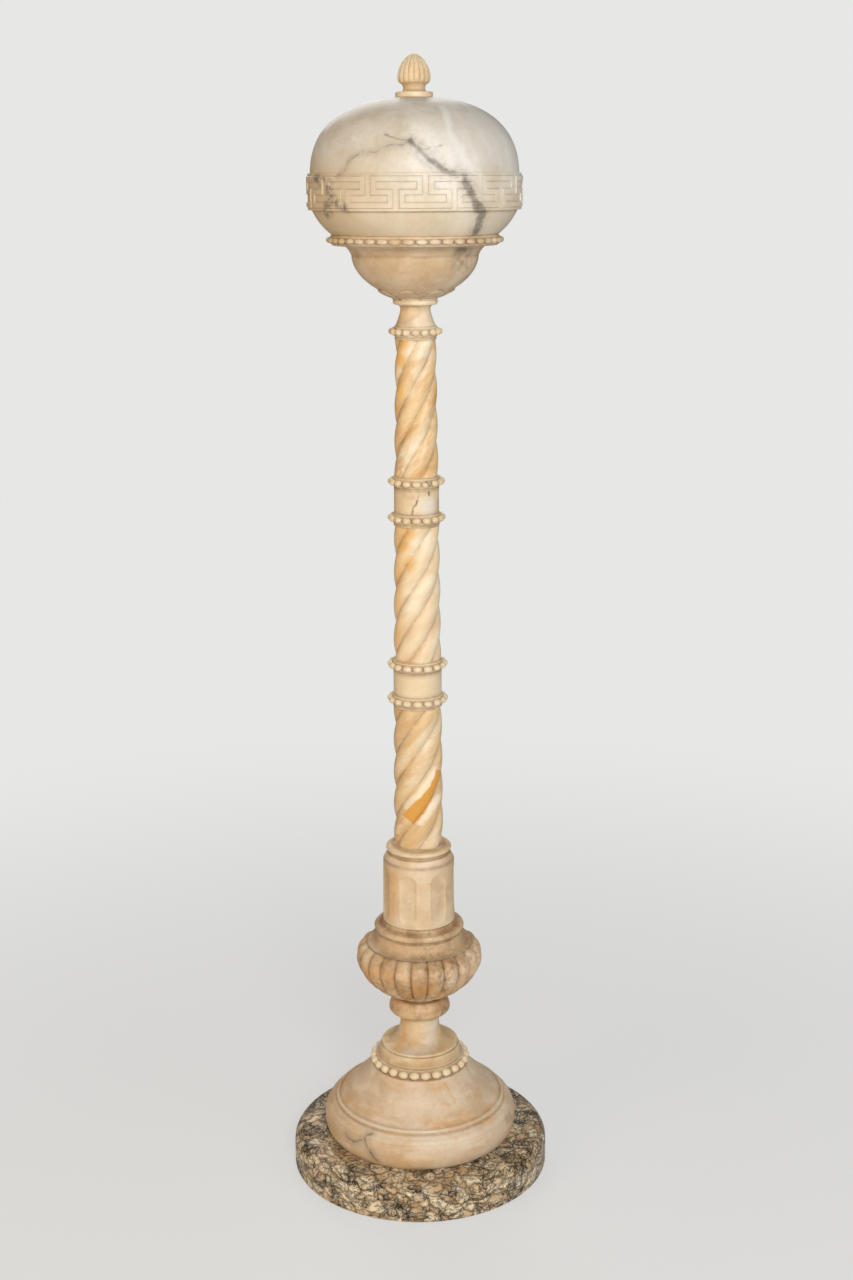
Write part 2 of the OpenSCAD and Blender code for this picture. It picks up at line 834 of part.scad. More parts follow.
// The bowl: a round body that rises from a cup of leaves and ends in a flared lip
bowl_foot_in = 2;
bowl_flare = 3;
bowl_washer_room = 2;
module bowl() {
    r = bowl_d / 2;
    lip_r = bowl_lip_d / 2;
    inner_r = r - bowl_wall;
    foot_r = capital_flange_d / 2 - bowl_foot_in;
    flat_r = washer_d / 2 + bowl_washer_room;
    cup_angle = -asin((bowl_body_h - bowl_cup_h) / bowl_body_h);
    cup_r = r * cos(cup_angle);
    floor_angle = -acos(flat_r / inner_r);
    inner_h = (bowl_body_h - bowl_floor) / -sin(floor_angle);
    color("burlywood")
        translate([0, 0, bowl_z])
            rotate_extrude($fn = smooth)
                polygon(concat(
                    [[bore_r, 0]],
                    bend([foot_r, 0], [(foot_r + cup_r) / 2, bowl_cup_h / 3.5], [cup_r + 1, bowl_cup_h]),
                    ellipse_arc([0, bowl_body_h], r, bowl_body_h, cup_angle, 0),
                    bend([r, bowl_body_h], [r + bowl_flare, bowl_h - bowl_flare], [lip_r, bowl_h]),
                    bend([lip_r - bowl_wall, bowl_h], [inner_r + bowl_flare, bowl_h - bowl_flare],
                        [inner_r, bowl_body_h]),
                    ellipse_arc([0, bowl_body_h], inner_r, inner_h, 0, floor_angle),
                    [[bore_r, bowl_floor]]
                ));
}

// The beaded rim: it lies on the bowl's lip, and the globe stands on its top
rim_edge_in = 3.5;
rim_under_h = 2;
module bowl_bead_rim() {
    tip_r = globe_foot_r + rim_bead_out;
    band = bead_band_r(tip_r, rim_bead_h, rim_beads);
    seat_r = bowl_lip_d / 2 - bowl_wall;
    edge = band - rim_edge_in;
    mid = rim_h / 2;
    color("burlywood") {
        translate([0, 0, rim_z])
            rotate_extrude($fn = smooth)
                polygon([
                    [seat_r, 0], [edge - rim_under_h, 0], [edge, rim_under_h],
                    [band, mid - rim_bead_h / 2], [band, mid + rim_bead_h / 2],
                    [edge, rim_h], [rim_mouth_r, rim_h],
                    [rim_mouth_r, rim_ledge_h], [seat_r, rim_ledge_h]
                ]);
        bead_row(rim_z + mid, tip_r, rim_bead_h, rim_beads);
    }
}

// The lampholder: a cap and a shell that meet at half height, round a core, a sleeve and a contact
holder_bend = 8;
module holder_cap() {
    neck_z = holder_neck_h - core_step;
    color("goldenrod")
        translate([0, 0, holder_z])
            rotate_extrude($fn = smooth)
                polygon(concat(
                    [[bore_r, 0], [holder_neck_r, 0]],
                    bend([holder_neck_r, neck_z], [holder_r, neck_z],
                        [holder_r, holder_split_h - holder_bend]),
                    [[holder_r, holder_split_h], [holder_inner_r, holder_split_h]],
                    bend([holder_inner_r, holder_split_h - holder_bend], [holder_inner_r, holder_neck_h],
                        [holder_neck_r, holder_neck_h]),
                    [[bore_r, holder_neck_h]]
                ));
}

module holder_core() {
    r = holder_inner_r - small_gap - core_step;
    hole_r = contact_r - core_step;
    color("ivory")
        turned(core_z, [[holder_neck_r - 1, 0], [r, core_base_h / 2], [r, core_base_h]], hole_r);
}

module holder_sleeve() {
    color("goldenrod")
        flat_ring(sleeve_z, sleeve_r, sleeve_r - sleeve_wall, sleeve_h);
}

module holder_contact() {
    color("darkgoldenrod")
        translate([0, 0, sleeve_z])
            cylinder(h = contact_h, r = contact_r, $fn = smooth);
}

holder_edge = 2;
module holder_shell() {
    h = holder_h - holder_split_h;
    lip_r = sleeve_r + small_gap;
    color("goldenrod")
        translate([0, 0, holder_z + holder_split_h])
            rotate_extrude($fn = smooth)
                polygon([
                    [holder_inner_r, 0], [holder_r, 0], [holder_r, h - holder_edge],
                    [holder_r - holder_edge, h], [lip_r, h], [lip_r, h - holder_wall],
                    [holder_inner_r - holder_edge, h - holder_wall],
                    [holder_inner_r, h - holder_edge - holder_wall]
                ]);
}

// The bulb
bulb_tip_r = 3;
bulb_tip_top_r = 4.5;
bulb_insulator_r = 6;

module bulb_contact() {
    color("silver")
        translate([0, 0, bulb_z])
            cylinder(h = bulb_tip_h, r1 = bulb_tip_r, r2 = bulb_tip_top_r, $fn = smooth);
}

module bulb_insulator() {
    color("dimgray")
        translate([0, 0, bulb_z + bulb_tip_h])
            cylinder(h = bulb_insulator_h, r1 = bulb_insulator_r, r2 = cap_d / 2 - 2 * bulb_cap_wall,
                $fn = smooth);
}

module bulb_cap() {
    color("silver")
        flat_ring(bulb_glass_z, cap_d / 2, cap_d / 2 - bulb_cap_wall, bulb_cap_h);
}

bulb_shoulder = -50;
module bulb_glass() {
    r = bulb_d / 2;
    t = bulb_glass_t;
    neck_r = cap_d / 2 - bulb_cap_wall - small_gap;
    mid = bulb_z + bulb_len - bulb_glass_z - r;
    joint = [cos(bulb_shoulder), sin(bulb_shoulder)];
    pull = [neck_r, mid - r];
    color("whitesmoke")
        translate([0, 0, bulb_glass_z])
            rotate_extrude($fn = smooth)
                polygon(concat(
                    [[0, 0], [neck_r, 0]],
                    bend([neck_r, bulb_cap_h], pull, [0, mid] + r * joint),
                    ellipse_arc([0, mid], r, r, bulb_shoulder, 90),
                    ellipse_arc([0, mid], r - t, r - t, 90, bulb_shoulder),
                    bend([0, mid] + (r - t) * joint, pull - [t, 0], [neck_r - t, bulb_cap_h]),
                    [[neck_r - t, t], [0, t]]
                ));
}

// The globe: a shell that swells from its foot to the key band, with a lip that drops into the rim
globe_neck_in = 2;
globe_pull = [9, 0.41];
band_edge = 0.6;
function globe_curve(foot_r, top_r) =
    bend([foot_r, 0], [top_r - globe_pull[0], globe_low_h * globe_pull[1]], [top_r, globe_low_h]);
function reversed(list) = [for (i = [len(list) - 1:-1:0]) list[i]];

// The key pattern's fillet: bars sunk into the band, whose posts are a hair smaller than its runs
key_sink = 1;
key_tuck = 0.04;
key_margin = 4;
key_turn = -96.5;

module key_bar(from, to, low, high, tuck = 0) {
    ends = (key_fillet / 2 - tuck) / band_r * 180 / PI;
    sink = key_sink - tuck;
    rotate(from - ends)
        translate([0, 0, low])
            rotate_extrude(angle = to - from + 2 * ends, $fn = smooth)
                translate([band_r - sink, 0])
                    square([sink + key_relief - tuck, high - low]);
}

module key_run(from, to, mid) {
    key_bar(from, to, mid - key_fillet / 2, mid + key_fillet / 2);
}

module key_post(at, low_mid, high_mid) {
    key_bar(at, at, low_mid, high_mid, key_tuck);
}

// One repeat of the key: along the bottom, up and back at the middle, up and along the top, and down
module key_repeat(turn) {
    low = globe_z + globe_low_h + key_margin + key_fillet / 2;
    high = globe_z + globe_h - key_margin - key_fillet / 2;
    mid = (low + high) / 2;
    near = 0.5 * turn;
    far = 0.8 * turn;
    key_run(0, far, low);
    key_post(far, low, mid);
    key_run(near, far, mid);
    key_post(near, mid, high);
    key_run(near, near + far, high);
    key_post(near + far, mid, high);
    key_run(turn, near + far, mid);
    key_post(turn, low, mid);
}

module globe() {
    lip_r = rim_mouth_r - lip_gap;
    lip_in = lip_r - lip_t;
    mouth_z = globe_h - lip_h - lip_room;
    turn = 360 / key_repeats;
    color("antiquewhite") {
        translate([0, 0, globe_z])
            rotate_extrude($fn = smooth)
                polygon(concat(
                    [[lip_in, -lip_h], [lip_r, -lip_h], [lip_r, 0]],
                    globe_curve(globe_foot_r, globe_r - globe_neck_in),
                    [[band_r - band_edge, globe_low_h], [band_r, globe_low_h + band_edge],
                     [band_r, globe_h - band_edge], [band_r - band_edge, globe_h],
                     [dome_mouth_r, globe_h], [dome_mouth_r, mouth_z]],
                    reversed(globe_curve(lip_in, globe_inner_r))
                ));
        for (i = [0:key_repeats - 1])
            rotate(i * turn + key_turn)
                key_repeat(turn);
    }
}

// The dome, the lid that lifts off by its finial: its curve is drawn about a point below its edge
dome_drop = 9;
dome_crown_r = finial_foot_d / 2 + 3;
dome_steps = 24;
lip_slope_h = 8;
function dome_arc(a, top, low, crown_r) =
    let (b = (top + dome_drop) / pow(1 - pow(crown_r / a, dome_fullness), 1 / dome_fullness))
    full_arc([0, -dome_drop], a, b, dome_fullness,
        asin(pow((dome_drop + low) / b, dome_fullness / 2)),
        acos(pow(crown_r / a, dome_fullness / 2)), dome_steps);

module dome() {
    lip_r = dome_mouth_r - lip_gap;
    lip_in = lip_r - lip_t;
    ceiling_h = dome_h - globe_wall;
    hole_r = stud_d / 2 + stud_gap;
    flat_r = stud_washer_d / 2 + 1;
    color("gainsboro")
        translate([0, 0, dome_z])
            rotate_extrude($fn = smooth)
                polygon(concat(
                    [[lip_in, -lip_h], [lip_r, -lip_h], [lip_r, 0]],
                    dome_arc(globe_r, dome_h, 0, dome_crown_r),
                    [[hole_r, dome_h], [hole_r, ceiling_h]],
                    reversed(dome_arc(globe_inner_r, ceiling_h, lip_slope_h, flat_r)),
                    [[lip_in, 0]]
                ));
}

// The finial: a reeded bud on a waisted foot, held by a stud, a washer and a nut
finial_foot_h = 8;
finial_foot_edge = 3;
finial_waist_h = 8;
finial_sink = 2.5;
bud_waist_share = 0.34;
bud_low_share = 0.31;
reed_depth = 1.2;
reed_points = 4;
bud_low_rows = 4;
bud_high_rows = 9;
bud_tip_angle = 84;
bud_lean = 1.8;

module finial() {
    foot_r = finial_foot_d / 2;
    bud_r = bud_d / 2;
    waist_r = bud_d * bud_waist_share;
    waist_top = finial_foot_h + finial_waist_h;
    bud_z = waist_top - finial_sink;
    low_h = (finial_h - bud_z) * bud_low_share;
    mid_z = bud_z + low_h;
    tip_h = (finial_h - mid_z) / pow(sin(bud_tip_angle), 2 / bud_lean);
    low = [for (i = [0:bud_low_rows - 1]) let (t = i / bud_low_rows)
        [waist_r - 1 + (bud_r - waist_r + 1) * sin(90 * t), bud_z + low_h * t]];
    high = full_arc([0, mid_z], bud_r, tip_h, bud_lean, 0, bud_tip_angle, bud_high_rows);
    color("burlywood")
        translate([0, 0, finial_z])
            difference() {
                union() {
                    lofted([for (p = concat(low, high))
                        lobed_row(p[0], p[1], reed_depth * p[0] / bud_r, reeds, reed_points)]);
                    rotate_extrude($fn = smooth)
                        polygon(concat(
                            [[0, 0]],
                            ellipse_arc([foot_r - finial_foot_edge, finial_foot_h / 2],
                                finial_foot_edge, finial_foot_h / 2, -90, 90),
                            bend([foot_r - 2 * finial_foot_edge, finial_foot_h], [waist_r, finial_foot_h],
                                [waist_r, waist_top]),
                            [[0, waist_top]]
                        ));
                }
                translate([0, 0, -cut_over])
                    cylinder(h = stud_grip + 2 * cut_over, r = stud_d / 2 + stud_gap, $fn = smooth);
            }
}

stud_nut_h = 5;
stud_washer_t = 1.6;
stud_tail = 3;
stud_washer_z = finial_z - globe_wall - stud_washer_t;
stud_nut_z = stud_washer_z - stud_nut_h;

module finial_stud() {
    z = stud_nut_z - stud_tail;
    color("silver")
        translate([0, 0, z])
            cylinder(h = finial_z + stud_grip - z, d = stud_d, $fn = smooth);
}

module finial_washer() {
    color("goldenrod")
        flat_ring(stud_washer_z, stud_washer_d / 2, stud_d / 2 + stud_gap, stud_washer_t);
}

module finial_nut() {
    color("goldenrod")
        hex_nut(stud_nut_z, stud_nut_flats, stud_nut_h, stud_d / 2 + stud_gap);
}

base_felt();
marble_plinth();
cord_bush();
base_washer();
base_nut();
centre_tube();
foot();
foot_bead_ring();
foot_socle();
pedestal_neck();
cushion_ring();
urn();
urn_ring();
fluted_drum();
drum_ring();
lower_shaft();
lower_collar_bottom_ring();
lower_collar();
lower_collar_top_ring();
middle_shaft();
upper_collar_bottom_ring();
upper_collar();
upper_collar_top_ring();
upper_shaft();
capital_bead_ring();
capital();
bowl();
bowl_washer();
bowl_nut();
bowl_bead_rim();
holder_cap();
holder_core();
holder_sleeve();
holder_contact();
holder_shell();
bulb_glass();
bulb_cap();
bulb_insulator();
bulb_contact();
globe();
dome();
finial();
finial_stud();
finial_washer();
finial_nut();
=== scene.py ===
# %% [markdown]
# # A carved alabaster floor lamp
# The lamp is a stack of turned and carved stones, threaded on a steel tube like beads on a string.
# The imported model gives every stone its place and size. This lesson gives each stone its carving,
# its softened edges and its veined, honey-coloured finish.

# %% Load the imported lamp
import json
import math

import bmesh
import bpy
import numpy as np
from mathutils import Matrix, Vector


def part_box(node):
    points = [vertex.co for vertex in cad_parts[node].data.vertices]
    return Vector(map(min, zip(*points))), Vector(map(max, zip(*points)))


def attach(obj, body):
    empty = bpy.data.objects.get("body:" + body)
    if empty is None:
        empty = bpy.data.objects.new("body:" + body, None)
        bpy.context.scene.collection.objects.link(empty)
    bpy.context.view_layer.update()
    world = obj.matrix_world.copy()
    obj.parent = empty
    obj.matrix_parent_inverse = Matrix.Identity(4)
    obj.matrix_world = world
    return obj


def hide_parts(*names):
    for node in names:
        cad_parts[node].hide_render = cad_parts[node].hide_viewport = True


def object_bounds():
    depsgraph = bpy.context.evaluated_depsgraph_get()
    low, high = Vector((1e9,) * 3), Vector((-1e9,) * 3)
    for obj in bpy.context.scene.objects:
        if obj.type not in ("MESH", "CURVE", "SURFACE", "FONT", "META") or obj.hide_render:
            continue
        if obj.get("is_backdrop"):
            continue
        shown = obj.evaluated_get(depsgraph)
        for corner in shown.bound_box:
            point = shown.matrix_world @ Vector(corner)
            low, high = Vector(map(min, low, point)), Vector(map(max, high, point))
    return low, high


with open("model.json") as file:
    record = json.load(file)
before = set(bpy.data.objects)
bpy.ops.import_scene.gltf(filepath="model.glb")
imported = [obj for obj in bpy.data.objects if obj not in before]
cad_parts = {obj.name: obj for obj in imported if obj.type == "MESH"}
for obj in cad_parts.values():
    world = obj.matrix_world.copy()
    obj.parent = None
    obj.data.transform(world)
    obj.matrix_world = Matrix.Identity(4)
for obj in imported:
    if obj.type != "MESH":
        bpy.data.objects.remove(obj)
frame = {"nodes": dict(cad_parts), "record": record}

MM = 0.001
scene = bpy.context.scene
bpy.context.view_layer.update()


def link(made):
    """Put an object into the scene."""
    scene.collection.objects.link(made)
    return made


# %% [markdown]
# ## The camera
# The photograph looks slightly down from eye height. Its lens is known from the way the round rims
# flatten: a focal length of 1800 pixels on the long side of the frame. Written as a lens on a 36 mm
# sensor, that is about 50 mm. A small yaw and roll put the axis of the lamp where the photograph has it.

# %% Place the camera
FRAME_LONG_PX = 1280
FOCAL_PX = 1800
SENSOR_MM = 36
EYE = Vector((0, -2.6269, 1.5369))
PITCH = math.radians(14.4)
YAW = math.radians(0.30)
ROLL = math.radians(-0.27)

lens = bpy.data.cameras.new("photo_camera")
lens.sensor_fit = "AUTO"
lens.sensor_width = SENSOR_MM
lens.lens = SENSOR_MM * FOCAL_PX / FRAME_LONG_PX
camera = link(bpy.data.objects.new("photo_camera", lens))
facing = Matrix.Rotation(-YAW, 4, "Z") @ Matrix.Rotation(math.pi / 2 - PITCH, 4, "X")
camera.matrix_world = Matrix.Translation(EYE) @ facing @ Matrix.Rotation(ROLL, 4, "Z")
scene.camera = camera
print("lens", lens.lens, "mm")

# %% [markdown]
# ## Sums with sockets
# A finish is mostly arithmetic: a cloud times a mask plus a vein. Wiring Math nodes by hand hides that
# arithmetic, so this class wraps a socket and lets plain Python operators add the Math nodes. Its one
# method for any other node sets the node's settings first, and then the values or links of its sockets.
# The same class works in materials and in Geometry Nodes.

# %% A wire that can be added and multiplied
class Wire:
    """One socket of a node tree."""

    def __init__(self, tree, socket=None):
        self.tree = tree
        self.socket = socket

    def node(self, kind, values=None, out=0, **settings):
        """Add a node and give one of its outputs."""
        made = self.tree.nodes.new(kind)
        for key, value in settings.items():
            setattr(made, key, value)
        for key, value in (values or {}).items():
            if isinstance(value, Wire):
                self.tree.links.new(value.socket, made.inputs[key])
            else:
                made.inputs[key].default_value = value
        return Wire(self.tree, made.outputs[out] if made.outputs else None)

    def other(self, out):
        """Another output of the node that this wire leaves."""
        return Wire(self.tree, self.socket.node.outputs[out])

    def math(self, operation, *others):
        return self.node("ShaderNodeMath", dict(enumerate((self, *others))), operation=operation)

    def rise(self, low, high):
        """0 up to low, 1 from high on, and a smooth climb between them."""
        reach = {"Value": self, "From Min": low, "From Max": high}
        return self.node("ShaderNodeMapRange", reach, interpolation_type="SMOOTHSTEP")

    def between(self, low, full, fade, high):
        """A smooth climb from low to full, and a smooth fall from fade to high."""
        return self.rise(low, full) * (1 - self.rise(fade, high))


def forward(operation):
    return lambda self, value: self.math(operation, value)


def reflected(operation):
    return lambda self, value: self.node("ShaderNodeMath", {0: value, 1: self}, operation=operation)


for word, operation in (("add", "ADD"), ("sub", "SUBTRACT"), ("mul", "MULTIPLY"),
                        ("truediv", "DIVIDE"), ("pow", "POWER")):
    setattr(Wire, f"__{word}__", forward(operation))
    setattr(Wire, f"__r{word}__", reflected(operation))
Wire.__abs__ = lambda self: self.math("ABSOLUTE")

# %% [markdown]
# ## Colours, clouds and veins
# Colours are written as they look on a screen, from 0 to 255, and turned into the linear values that
# Blender calculates with. Clouds come from noise that is itself bent by a coarser noise, because plain
# noise looks too even for stone. A single vein follows a short list of points on the surface: the
# distance from the nearest stretch of that line says how dark the stone is.

# %% Helpers for finishes
def paint(red, green, blue):
    linear = [((c / 255 + 0.055) / 1.055) ** 2.4 if c > 10 else c / 255 / 12.92 for c in (red, green, blue)]
    return (*linear, 1.0)


def mixed(factor, a, b, blend="MIX"):
    """Colour a where the factor is 0 and colour b, or their blend, where it is 1."""
    source = next(w for w in (factor, a, b) if isinstance(w, Wire))
    return source.node("ShaderNodeMix", {0: factor, 6: a, 7: b}, out=2, data_type="RGBA", blend_type=blend)


def vector(operation, a, b, out=0):
    return a.node("ShaderNodeVectorMath", {0: a, 1: b}, out=out, operation=operation)


def noise(p, scale, detail=4.0, roughness=0.55, out=0):
    sizes = {"Vector": p, "Scale": scale, "Detail": detail, "Roughness": roughness}
    return p.node("ShaderNodeTexNoise", sizes, out=out)


def bent(p, scale, reach):
    """The place p, moved about by a soft noise, up to about reach each way."""
    wander = vector("SUBTRACT", noise(p, scale, 3, out=1), (0.5, 0.5, 0.5))
    return vector("ADD", p, vector("MULTIPLY", wander, (3 * reach,) * 3))


def scaled(run, share):
    return share.node("ShaderNodeVectorMath", {0: run, 3: share}, operation="SCALE")


def extreme(operation, wires):
    """The smallest or the largest of some values."""
    first, *others = wires
    for wire in others:
        first = first.math(operation, wire)
    return first


def near_line(p, *lines):
    """Distance from p to the nearest of some lines, each through points given in millimetres."""
    gaps = []
    for points in lines:
        spots = [Vector(point) * MM for point in points]
        for start, end in zip(spots, spots[1:]):
            run = end - start
            away = vector("SUBTRACT", p, start)
            share = vector("DOT_PRODUCT", away, run / run.length_squared, out=1)
            share = share.node("ShaderNodeClamp", {"Value": share})
            gaps.append(vector("DISTANCE", away, scaled(run, share), out=1))
    return extreme("MINIMUM", gaps)


def near_spot(p, point):
    return vector("DISTANCE", p, Vector(point) * MM, out=1)


def close(gap, near, far):
    """1 where a distance is below near, 0 where it is above far, both in millimetres."""
    return 1 - gap.rise(near * MM, far * MM)


def stroke(p, near, far, *lines):
    """A painted line: full up to a distance from it, and gone beyond another."""
    return close(near_line(p, *lines), near, far)


def axis(p, name):
    return p.node("ShaderNodeSeparateXYZ", {0: p}, out=name)


def beds(p, flatness, scale, detail=5, roughness=0.6):
    """Noise in layers: a flatness above 1 makes wide, thin clouds, and one below 1 makes upright streaks."""
    return noise(vector("MULTIPLY", p, (1.0, 1.0, flatness)), scale, detail, roughness)


def new_material(name):
    """A new material, its Principled shader and a wire with the place on the object."""
    made = bpy.data.materials.new(name)
    made.use_nodes = True
    wire = Wire(made.node_tree)
    shader = made.node_tree.nodes["Principled BSDF"]
    return made, shader, wire.node("ShaderNodeTexCoord", out="Object")


def join(shader, **sockets):
    """Feed wires into the shader, and set what is the same all over on its own sockets."""
    for name, value in sockets.items():
        socket = shader.inputs[name.replace("_", " ")]
        if isinstance(value, Wire):
            value.tree.links.new(value.socket, socket)
        else:
            socket.default_value = value


def mark(p, name):
    """A value that the mesh carries at each of its points."""
    return p.node("ShaderNodeAttribute", out="Fac", attribute_name=name)


def bump(height, strength, distance):
    return height.node("ShaderNodeBump", {"Height": height, "Strength": strength, "Distance": distance})


# %% [markdown]
# ## The alabaster
# Alabaster is a soft, waxy stone. Old pieces show milky clouds in a cream to tan ground, amber stains,
# thin brown veins and dirt in every hollow, while the edges that hands reach are rubbed pale. All the
# stones of the lamp share this recipe with their own three tones. What only one stone has, such as the
# dark arch on the dome, is painted by a small function of that stone. The meshes carry two marks,
# hollow and edge. Hollow says where dirt settles and where shade falls, in creases, valleys and joints,
# and the recipe paints both there as one darker brown: painted shade together with dirt. Edge says
# where the stone is worn.

# %% The alabaster recipe
AMBER = paint(226, 164, 86)
BROWN_VEIN = paint(142, 106, 74)
GREY_VEIN = paint(84, 76, 68)
# The brown of dirt and of painted shade in creases, valleys and joints.
DIRT_AND_SHADE = paint(146, 108, 68)
WORN = paint(246, 228, 196)
BEDDING = 2.4


def alabaster(name, *tones, stain=0.35, veins=0.3, coarse=1.0, grime_and_shade=0.8, patchy=0.5, coords=None,
              markings=None):
    """A stone of three tones: pale, ground and deep."""
    pale, ground, deep = (paint(*tone) for tone in tones)
    made, shader, place = new_material(name + "_alabaster")
    p = coords(place) if coords else place
    soft = bent(p, 9 * coarse, 0.022 / coarse)
    clouds = noise(soft, 14 * coarse, 8, 0.66)
    colour = mixed(clouds.rise(0.37, 0.61), deep, ground)
    milk = noise(bent(p, 6 * coarse, 0.05 / coarse), 9 * coarse, 6, 0.6)
    colour = mixed(milk.rise(0.46, 0.66) * 0.9, colour, pale)
    stained = beds(soft, BEDDING, 13 * coarse, detail=6)
    colour = mixed(stained.rise(0.53, 0.72) * stain, colour, AMBER)
    grains = noise(soft, 130, 6, 0.75)
    colour = mixed(grains.rise(0.44, 0.68) * 0.38, colour, deep)
    ridge = 1 - abs(noise(bent(p, 24, 0.010), 8 * coarse, 3, 0.5) * 2 - 1)
    line = ridge.rise(0.93, 0.995) * noise(p, 6 * coarse, 3).rise(0.47, 0.62)
    colour = mixed(line * veins, colour, BROWN_VEIN)
    if markings:
        colour = markings(place, colour)
    # Dirt and painted shade: the hollow mark darkens creases, valleys and joints with one brown, for the dirt
    # that settles there and for the shade that falls there.
    dirt_and_shade = mark(place, "hollow") * (1 - patchy + patchy * noise(place, 46, 5, 0.6).rise(0.34, 0.62))
    colour = mixed(dirt_and_shade * grime_and_shade, colour, DIRT_AND_SHADE, "MULTIPLY")
    colour = mixed(mark(place, "edge") * 0.28, colour, WORN)
    grain = noise(place, 520, 3, 0.6) * 0.5 + noise(place, 90, 5, 0.6)
    join(shader, Base_Color=colour, Roughness=0.32 + clouds * 0.16 + dirt_and_shade * 0.28,
         Normal=bump(grain, 0.12, 0.0008), Specular_IOR_Level=0.32,
         Subsurface_Weight=0.12, Subsurface_Radius=(0.012, 0.008, 0.005), Subsurface_Scale=1.0)
    return made


# %% [markdown]
# ## The markings of single stones
# The veins and stains below are the ones that the photograph shows. Each is a handful of points on the
# front of its stone, in millimetres, and the line is frayed by bending the place before measuring.

# %% Veins and stains that belong to one stone
ARCH_LEFT = [(-104, -109, 1541), (-86, -119, 1557), (-71, -125, 1570), (-51, -134, 1573), (-35, -137, 1580),
             (-16, -141, 1577), (-6, -140, 1582)]
ARCH_RIGHT = [(-6, -140, 1582), (14, -144, 1567), (29, -144, 1556), (39, -142, 1546), (65, -137, 1540),
              (77, -133, 1513), (83, -129, 1500), (91, -113, 1492), (89, -105, 1478), (82, -89, 1461)]
ARCH_LEFT_TWIG = [(-6, -140, 1582), (-18, -137, 1587), (-39, -128, 1594)]
ARCH_RIGHT_TWIG = [(10, -143, 1572), (20, -141, 1575), (36, -136, 1580)]
SHADE_CLUSTER = [(-136, -70, 1537), (-120, -95, 1530), (-113, -100, 1510), (-98, -118, 1498)]
SHADE_CLUSTER_TAIL = [(-113, -100, 1510), (-121, -93, 1500), (-125, -80, 1490)]
MILK_STREAK = [(36, -83, 1631), (44, -110, 1613), (51, -126, 1592), (75, -127, 1548)]
MILK = paint(240, 235, 226)
YELLOW_CREAM = paint(226, 204, 164)
PAINTED_SHEEN_CREAM = paint(228, 222, 214)
PAINTED_SHADE_CREAM = paint(214, 186, 142)


def shade_markings(place, colour):
    """The dark arch with its twigs, the speckled cluster at the left and the milky streak, on a yellower
    lower globe, with a painted sheen on the right of the dome and painted shade on the lower left.
    """
    frayed = bent(bent(place, 26, 0.006), 120, 0.0014)
    side, height = axis(place, "X"), axis(place, "Z")
    colour = mixed((1 - height.rise(1.47, 1.56)) * 0.45, colour, YELLOW_CREAM)
    # Painted sheen: the right of the dome is whitened.
    colour = mixed(side.rise(0.0, 0.11) * height.rise(1.53, 1.57) * 0.6, colour, PAINTED_SHEEN_CREAM)
    # Painted shade: the lower left of the shade is warmed and darkened.
    colour = mixed((side * -1).rise(0.03, 0.14) * (1 - height.rise(1.53, 1.58)) * 0.6, colour, PAINTED_SHADE_CREAM)
    colour = mixed(stroke(bent(place, 12, 0.006), 1, 9.5, MILK_STREAK) * 0.95, colour, MILK)
    fibres = noise(frayed, 80, 6, 0.7).rise(0.34, 0.66)
    speckle = noise(bent(place, 50, 0.004), 90, 6, 0.66).rise(0.42, 0.58)
    fray = (noise(place, 120, 5, 0.7) - 0.5) * 0.005
    swell = (1 - height.rise(1.48, 1.57)) * 0.0028
    left, right = near_line(frayed, ARCH_LEFT), near_line(frayed, ARCH_RIGHT)
    twigs = near_line(frayed, ARCH_LEFT_TWIG, ARCH_RIGHT_TWIG)
    cluster = near_line(frayed, SHADE_CLUSTER, SHADE_CLUSTER_TAIL)
    # Each stroke: the distance from its line, where it is full and where it ends in millimetres, its least
    # darkness, and how much a pattern adds to that.
    strokes = ((right, 0, 21, 0.10, 0.30, fibres), (right + fray - swell, 0.8, 7.4, 0.54, 0.30, fibres),
               (left, 0, 11, 0.05, 0.22, fibres), (left + fray * 0.4, 0.2, 3.0, 0.25, 0.30, fibres),
               (twigs + fray * 0.3, 0.1, 3.0, 0.30, 0.35, fibres), (cluster, 1, 15, 0.13, 0.62, speckle))
    dark = [close(gap, near, far) * (least + pattern * more)
            for gap, near, far, least, more, pattern in strokes]
    return mixed(extreme("MAXIMUM", dark), colour, GREY_VEIN)


BOWL_BLOT = [(60, -78, 1442), (69, -65, 1439), (68, -60, 1429), (61, -66, 1422)]
BOWL_LINE = [(78, -57, 1441), (71, -56, 1430), (69, -57, 1420), (74, -47, 1413)]


def bowl_markings(place, colour):
    """A grey blot and a thin line under the rim at the right."""
    frayed = bent(place, 40, 0.006)
    blot = stroke(frayed, 0, 19, BOWL_BLOT) * noise(place, 60, 5).rise(0.28, 0.66)
    line = stroke(frayed, 0.4, 4, BOWL_LINE) * 0.4
    return mixed(extreme("MAXIMUM", (blot, line)) * 0.72, colour, GREY_VEIN)


COLLAR_VEIN = [(4, -33, 1095), (3, -33, 1086), (-1, -33, 1076), (-5, -33, 1069), (-6, -33, 1056)]
COLLAR_TWIG = [(-22, -25, 1091), (-13, -31, 1084), (-5, -33, 1084)]
COLLAR_KNOT = [(14, -38, 1110), (18, -37, 1103), (15, -38, 1098), (20, -30, 1094), (19, -27, 1088)]
COLLAR_MILK = (17, -28, 1072)
PURPLE_VEIN = paint(126, 102, 102)
PALE_COLLAR = paint(252, 234, 202)


